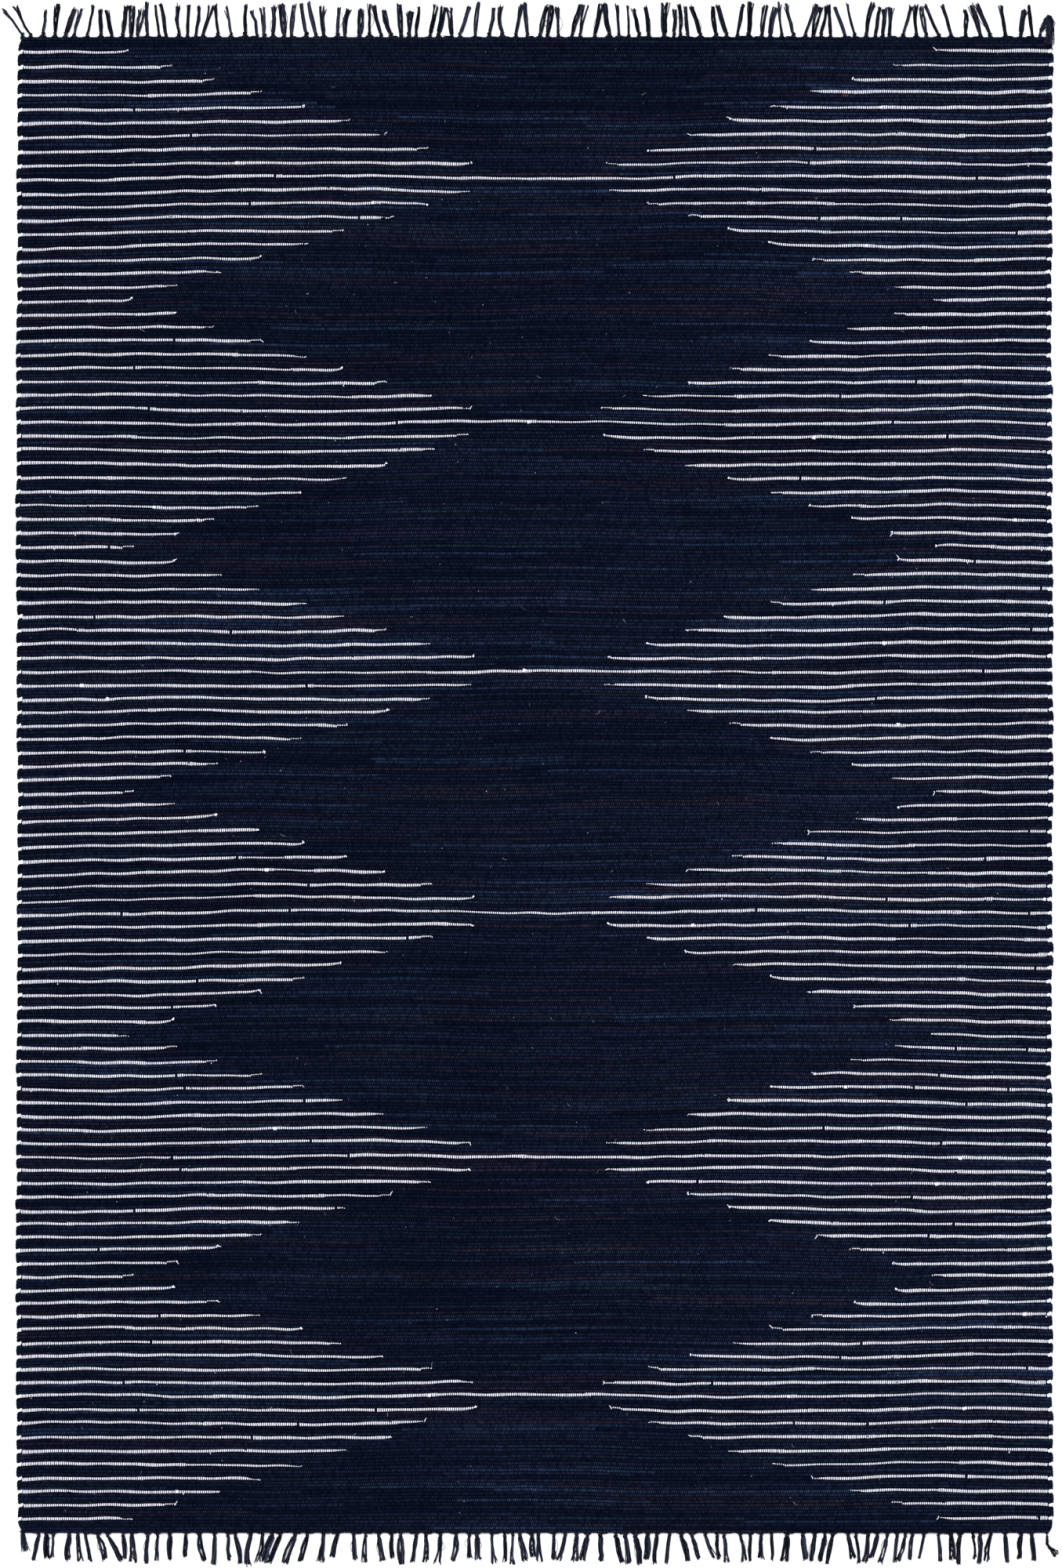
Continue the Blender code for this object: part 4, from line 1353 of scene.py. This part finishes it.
# The top right one has come undone and is folded back over the cloth
folded["root"] = CORNER_X - 0.0185
folded["own"].update(
    tube=LONG_TUBE, marks=LONG_MARKS, count=34, bow=0.0, split=0.0, knot=-0.0005, lie=0.0,
    girth=(0.0046, 0.0056, 0.0062, 0.0074, 0.0104, 0.0128, 0.0130, 0.0108), yarn=0.00066,
    twist=2.4, shade=0.12, slit=0.0006, stray=0.0012, hairs=34,
    line=from_corner(1, (
        (0.018, 0.006, 0.0), (0.013, 0.018, 0.0), (0.009, 0.029, 0.0), (0.004, 0.034, 0.0006),
        (0.001, 0.025, 0.0012), (0.003, 0.012, 0.0016), (0.004, -0.002, 0.0040),
        (0.006, -0.016, 0.0054),
    )),
)
# The bottom right one bends out past the corner and opens into its threads
bent["own"].update(
    tube=LONG_TUBE, marks=LONG_MARKS, count=13, bow=0.0, split=0.0008, knot=-0.0040, lie=0.0,
    girth=(0.0056, 0.0050, 0.0052, 0.0074, 0.0106, 0.0130), yarn=0.00066, twist=0.3,
    shade=0.06, slit=0.0, stray=0.0005, hairs=4,
    line=from_corner(-1, (
        (0.0072, 0.006, 0.0), (0.0066, 0.013, 0.0), (0.0060, 0.019, 0.0),
        (0.0010, 0.025, 0.0), (-0.0042, 0.031, 0.0), (-0.0090, 0.036, 0.0),
    )),
)
fringe_pieces = [
    fringe("warp_ends_top", 1, "fringe_top"), fringe("warp_ends_bottom", -1, "fringe_bottom"),
]
print("fringe pieces:", [piece.name for piece in fringe_pieces])

# %% [markdown]
# ## Lint and small knots on the cloth
# A used rag rug carries a few pale hairs, and here and there a dark knot where a navy rag was
# joined. They are few, so each is a bent thread or a lump laid on the cloth.

# %% Lint, flecks and knots
LINT_RADIUS, NAVY_END_RADIUS = 0.00016, 0.0005
HAIRS, FLECKS, DARK_KNOTS, LOOSE_ENDS = 60, 420, 34, 46
FIELD_X, FIELD_Y = 0.78, 1.14  # half of the cloth that flecks and knots may lie on
litter = random.Random(61)


def laid_at(height, path):
    """A fibre's path, laid flat at this height."""
    return [(x, y, height) for x, y, _ in path]


hairs, flecks, dark_knots, loose_ends = [], [], [], []
for _ in range(HAIRS):
    x, y = litter.uniform(-0.74, 0.74), litter.uniform(-1.12, 1.12)
    turn, curl = litter.uniform(0, 6.28), litter.uniform(-2.2, 2.2)
    path = curl_from(x, y, 1, math.pi / 2 - turn, litter.uniform(0.004, 0.012), -curl)
    hairs.append(laid_at(THICKNESS + 0.0005, path))
for _ in range(FLECKS):
    x, y = litter.uniform(-FIELD_X, FIELD_X), litter.uniform(-FIELD_Y, FIELD_Y)
    size = litter.uniform(0.0006, 0.0013)
    flecks.append((x, y, THICKNESS + 0.0001, size * litter.uniform(1.0, 2.2), size, 0.0008,
                   litter.uniform(0, 180), litter.uniform(0.0, 0.8) ** 2))
for _ in range(DARK_KNOTS):
    x, y = litter.uniform(-FIELD_X, FIELD_X), litter.uniform(-FIELD_Y, FIELD_Y)
    size = litter.uniform(0.0026, 0.0042)
    dark_knots.append((x, y, THICKNESS - 0.0006, size * litter.uniform(1.4, 2.4), size, 0.0030,
                       litter.uniform(-12, 12), litter.uniform(0.0, 0.12)))
for _ in range(LOOSE_ENDS):  # loose ends of navy yarn, laid over the pale rows
    row, side = litter.choice(PALE), litter.choice((-1, 1))
    x, y = side * litter.uniform(0.52, 0.78), row["y"] + litter.uniform(-0.004, 0.001)
    turn, long = litter.gauss(0, 0.8), litter.uniform(0.004, 0.010)
    path = curl_from(x, y, 1, turn, long, litter.uniform(-1, 1))
    loose_ends.append(laid_at(THICKNESS + RIB_RISE + 0.0004, path))
lint_shades = [litter.uniform(0.0, 0.6) for _ in hairs]
lint = joined("lint_and_flecks", [
    bend_even(HAIR_TUBE, hairs, LINT_RADIUS, lint_shades), stand(LUMP, follow_rows(flecks)),
], OFF_WHITE, "off_white_rag")
knots = joined("navy_rag_knots", [
    stand(FINE_LUMP, follow_rows(dark_knots)), stand(FINE_LUMP, nicks),
    bend_even(HAIR_TUBE, loose_ends, NAVY_END_RADIUS, 0.1),
], YARN, "navy_rag_cloth")
print("hairs:", len(hairs), "flecks:", len(flecks), "knots:", len(dark_knots))

# %% Brick-red rag: dull cotton, of which three bars show under the fourth pale row
RED_AT, RED_BELOW = 0.4775, 0.0047  # from the cloth's middle, and from that row
DEEP_RED, FADED_RED = "#3A0A12", "#A04A50"
RED, red_tree, red_shader = cotton("brick_red_rag", 0.92)
where = add(red_tree, "ShaderNodeTexCoord", out=3)
faded = add(red_tree, "ShaderNodeTexNoise", {"Vector": where, "Scale": 700.0, "Detail": 1.0})
red_colour = add(red_tree, "ShaderNodeMix", {0: faded, 6: paint(DEEP_RED), 7: paint(FADED_RED)},
                 out=2, data_type="RGBA")
red_tree.links.new(red_colour, red_shader.inputs["Base Color"])
red_y = PALE[3]["y"] - RED_BELOW
red_bars = []
for step in range(3):
    red_x = RED_AT + BAR_PITCH * step
    red_bars.append((red_x, red_y, THICKNESS - 0.0010, 0.0024, 0.0034, 0.0026, 0.0, 1.0))
red_scrap = joined("red_rag_scrap", [stand(BAR, follow_rows(red_bars))], RED, "navy_rag_cloth")
print("red bars:", len(red_bars))

# %% [markdown]
# ## What the cloth is
# The cloth is a sheet laid flat, with the size it was woven to.

print("declared one sheet of", WIDTH, "by", LENGTH, "m")

# %% [markdown]
# ## Floor, light and camera
# The rug lies on a plain white floor and is seen from straight above through a long lens, so its
# sides hardly show. A wide soft sun and a pale sky light it evenly, with just enough slant to
# round the ribs.

# %% Floor
FLOOR_SIDE = 30.0
bm = bmesh.new()
bmesh.ops.create_grid(bm, x_segments=1, y_segments=1, size=FLOOR_SIDE / 2)
floor_mesh = bpy.data.meshes.new("floor")
bm.to_mesh(floor_mesh)
bm.free()
floor = bpy.data.objects.new("floor", floor_mesh)
bpy.context.scene.collection.objects.link(floor)
floor_finish = bpy.data.materials.new("matt_white_floor")
floor_finish.use_nodes = True
floor_shader = floor_finish.node_tree.nodes["Principled BSDF"]
floor_shader.inputs["Base Color"].default_value = paint("#FAFAFA")
floor_shader.inputs["Roughness"].default_value = 1.0
floor_shader.inputs["Specular IOR Level"].default_value = 0.0
floor_mesh.materials.append(floor_finish)
floor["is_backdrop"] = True
print("floor:", FLOOR_SIDE, "m wide")

# %% Light
SKY, SUN = 0.92, 2.45
scene = bpy.context.scene
world = bpy.data.worlds.new("pale_studio")
world.use_nodes = True
world.node_tree.nodes["Background"].inputs["Color"].default_value = (1.0, 1.0, 1.0, 1.0)
world.node_tree.nodes["Background"].inputs["Strength"].default_value = SKY
scene.world = world
sun_data = bpy.data.lights.new("soft_sun", "SUN")
sun_data.energy, sun_data.angle = SUN, math.radians(35)
sun = bpy.data.objects.new("soft_sun", sun_data)
sun.rotation_euler = (math.radians(-28), math.radians(-12), 0.0)
scene.collection.objects.link(sun)
scene.view_settings.view_transform = "Standard"
print("light: sky", SKY, "sun", SUN)

# %% Camera
PIXEL = 0.0012121  # the cloth's size on one pixel of the picture, in metres
PICTURE_HEIGHT = 2000
OFF_MIDDLE = (-4.5 * PIXEL, 1.25 * PIXEL)  # the picture's middle from the cloth's middle
LENS, SENSOR = 150.0, 36.0
camera_data = bpy.data.cameras.new("camera")
camera_data.lens, camera_data.sensor_width = LENS, SENSOR
away = PICTURE_HEIGHT * PIXEL * LENS / SENSOR
camera = bpy.data.objects.new("camera", camera_data)
camera.location = (MIDDLE[0] + OFF_MIDDLE[0], MIDDLE[1] + OFF_MIDDLE[1], THICKNESS + away)
scene.collection.objects.link(camera)
scene.camera = camera
print("camera:", round(away, 2), "m above the cloth")

# %% The visual size
low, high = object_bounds()
print("visual size:", [round(side, 4) for side in high - low])
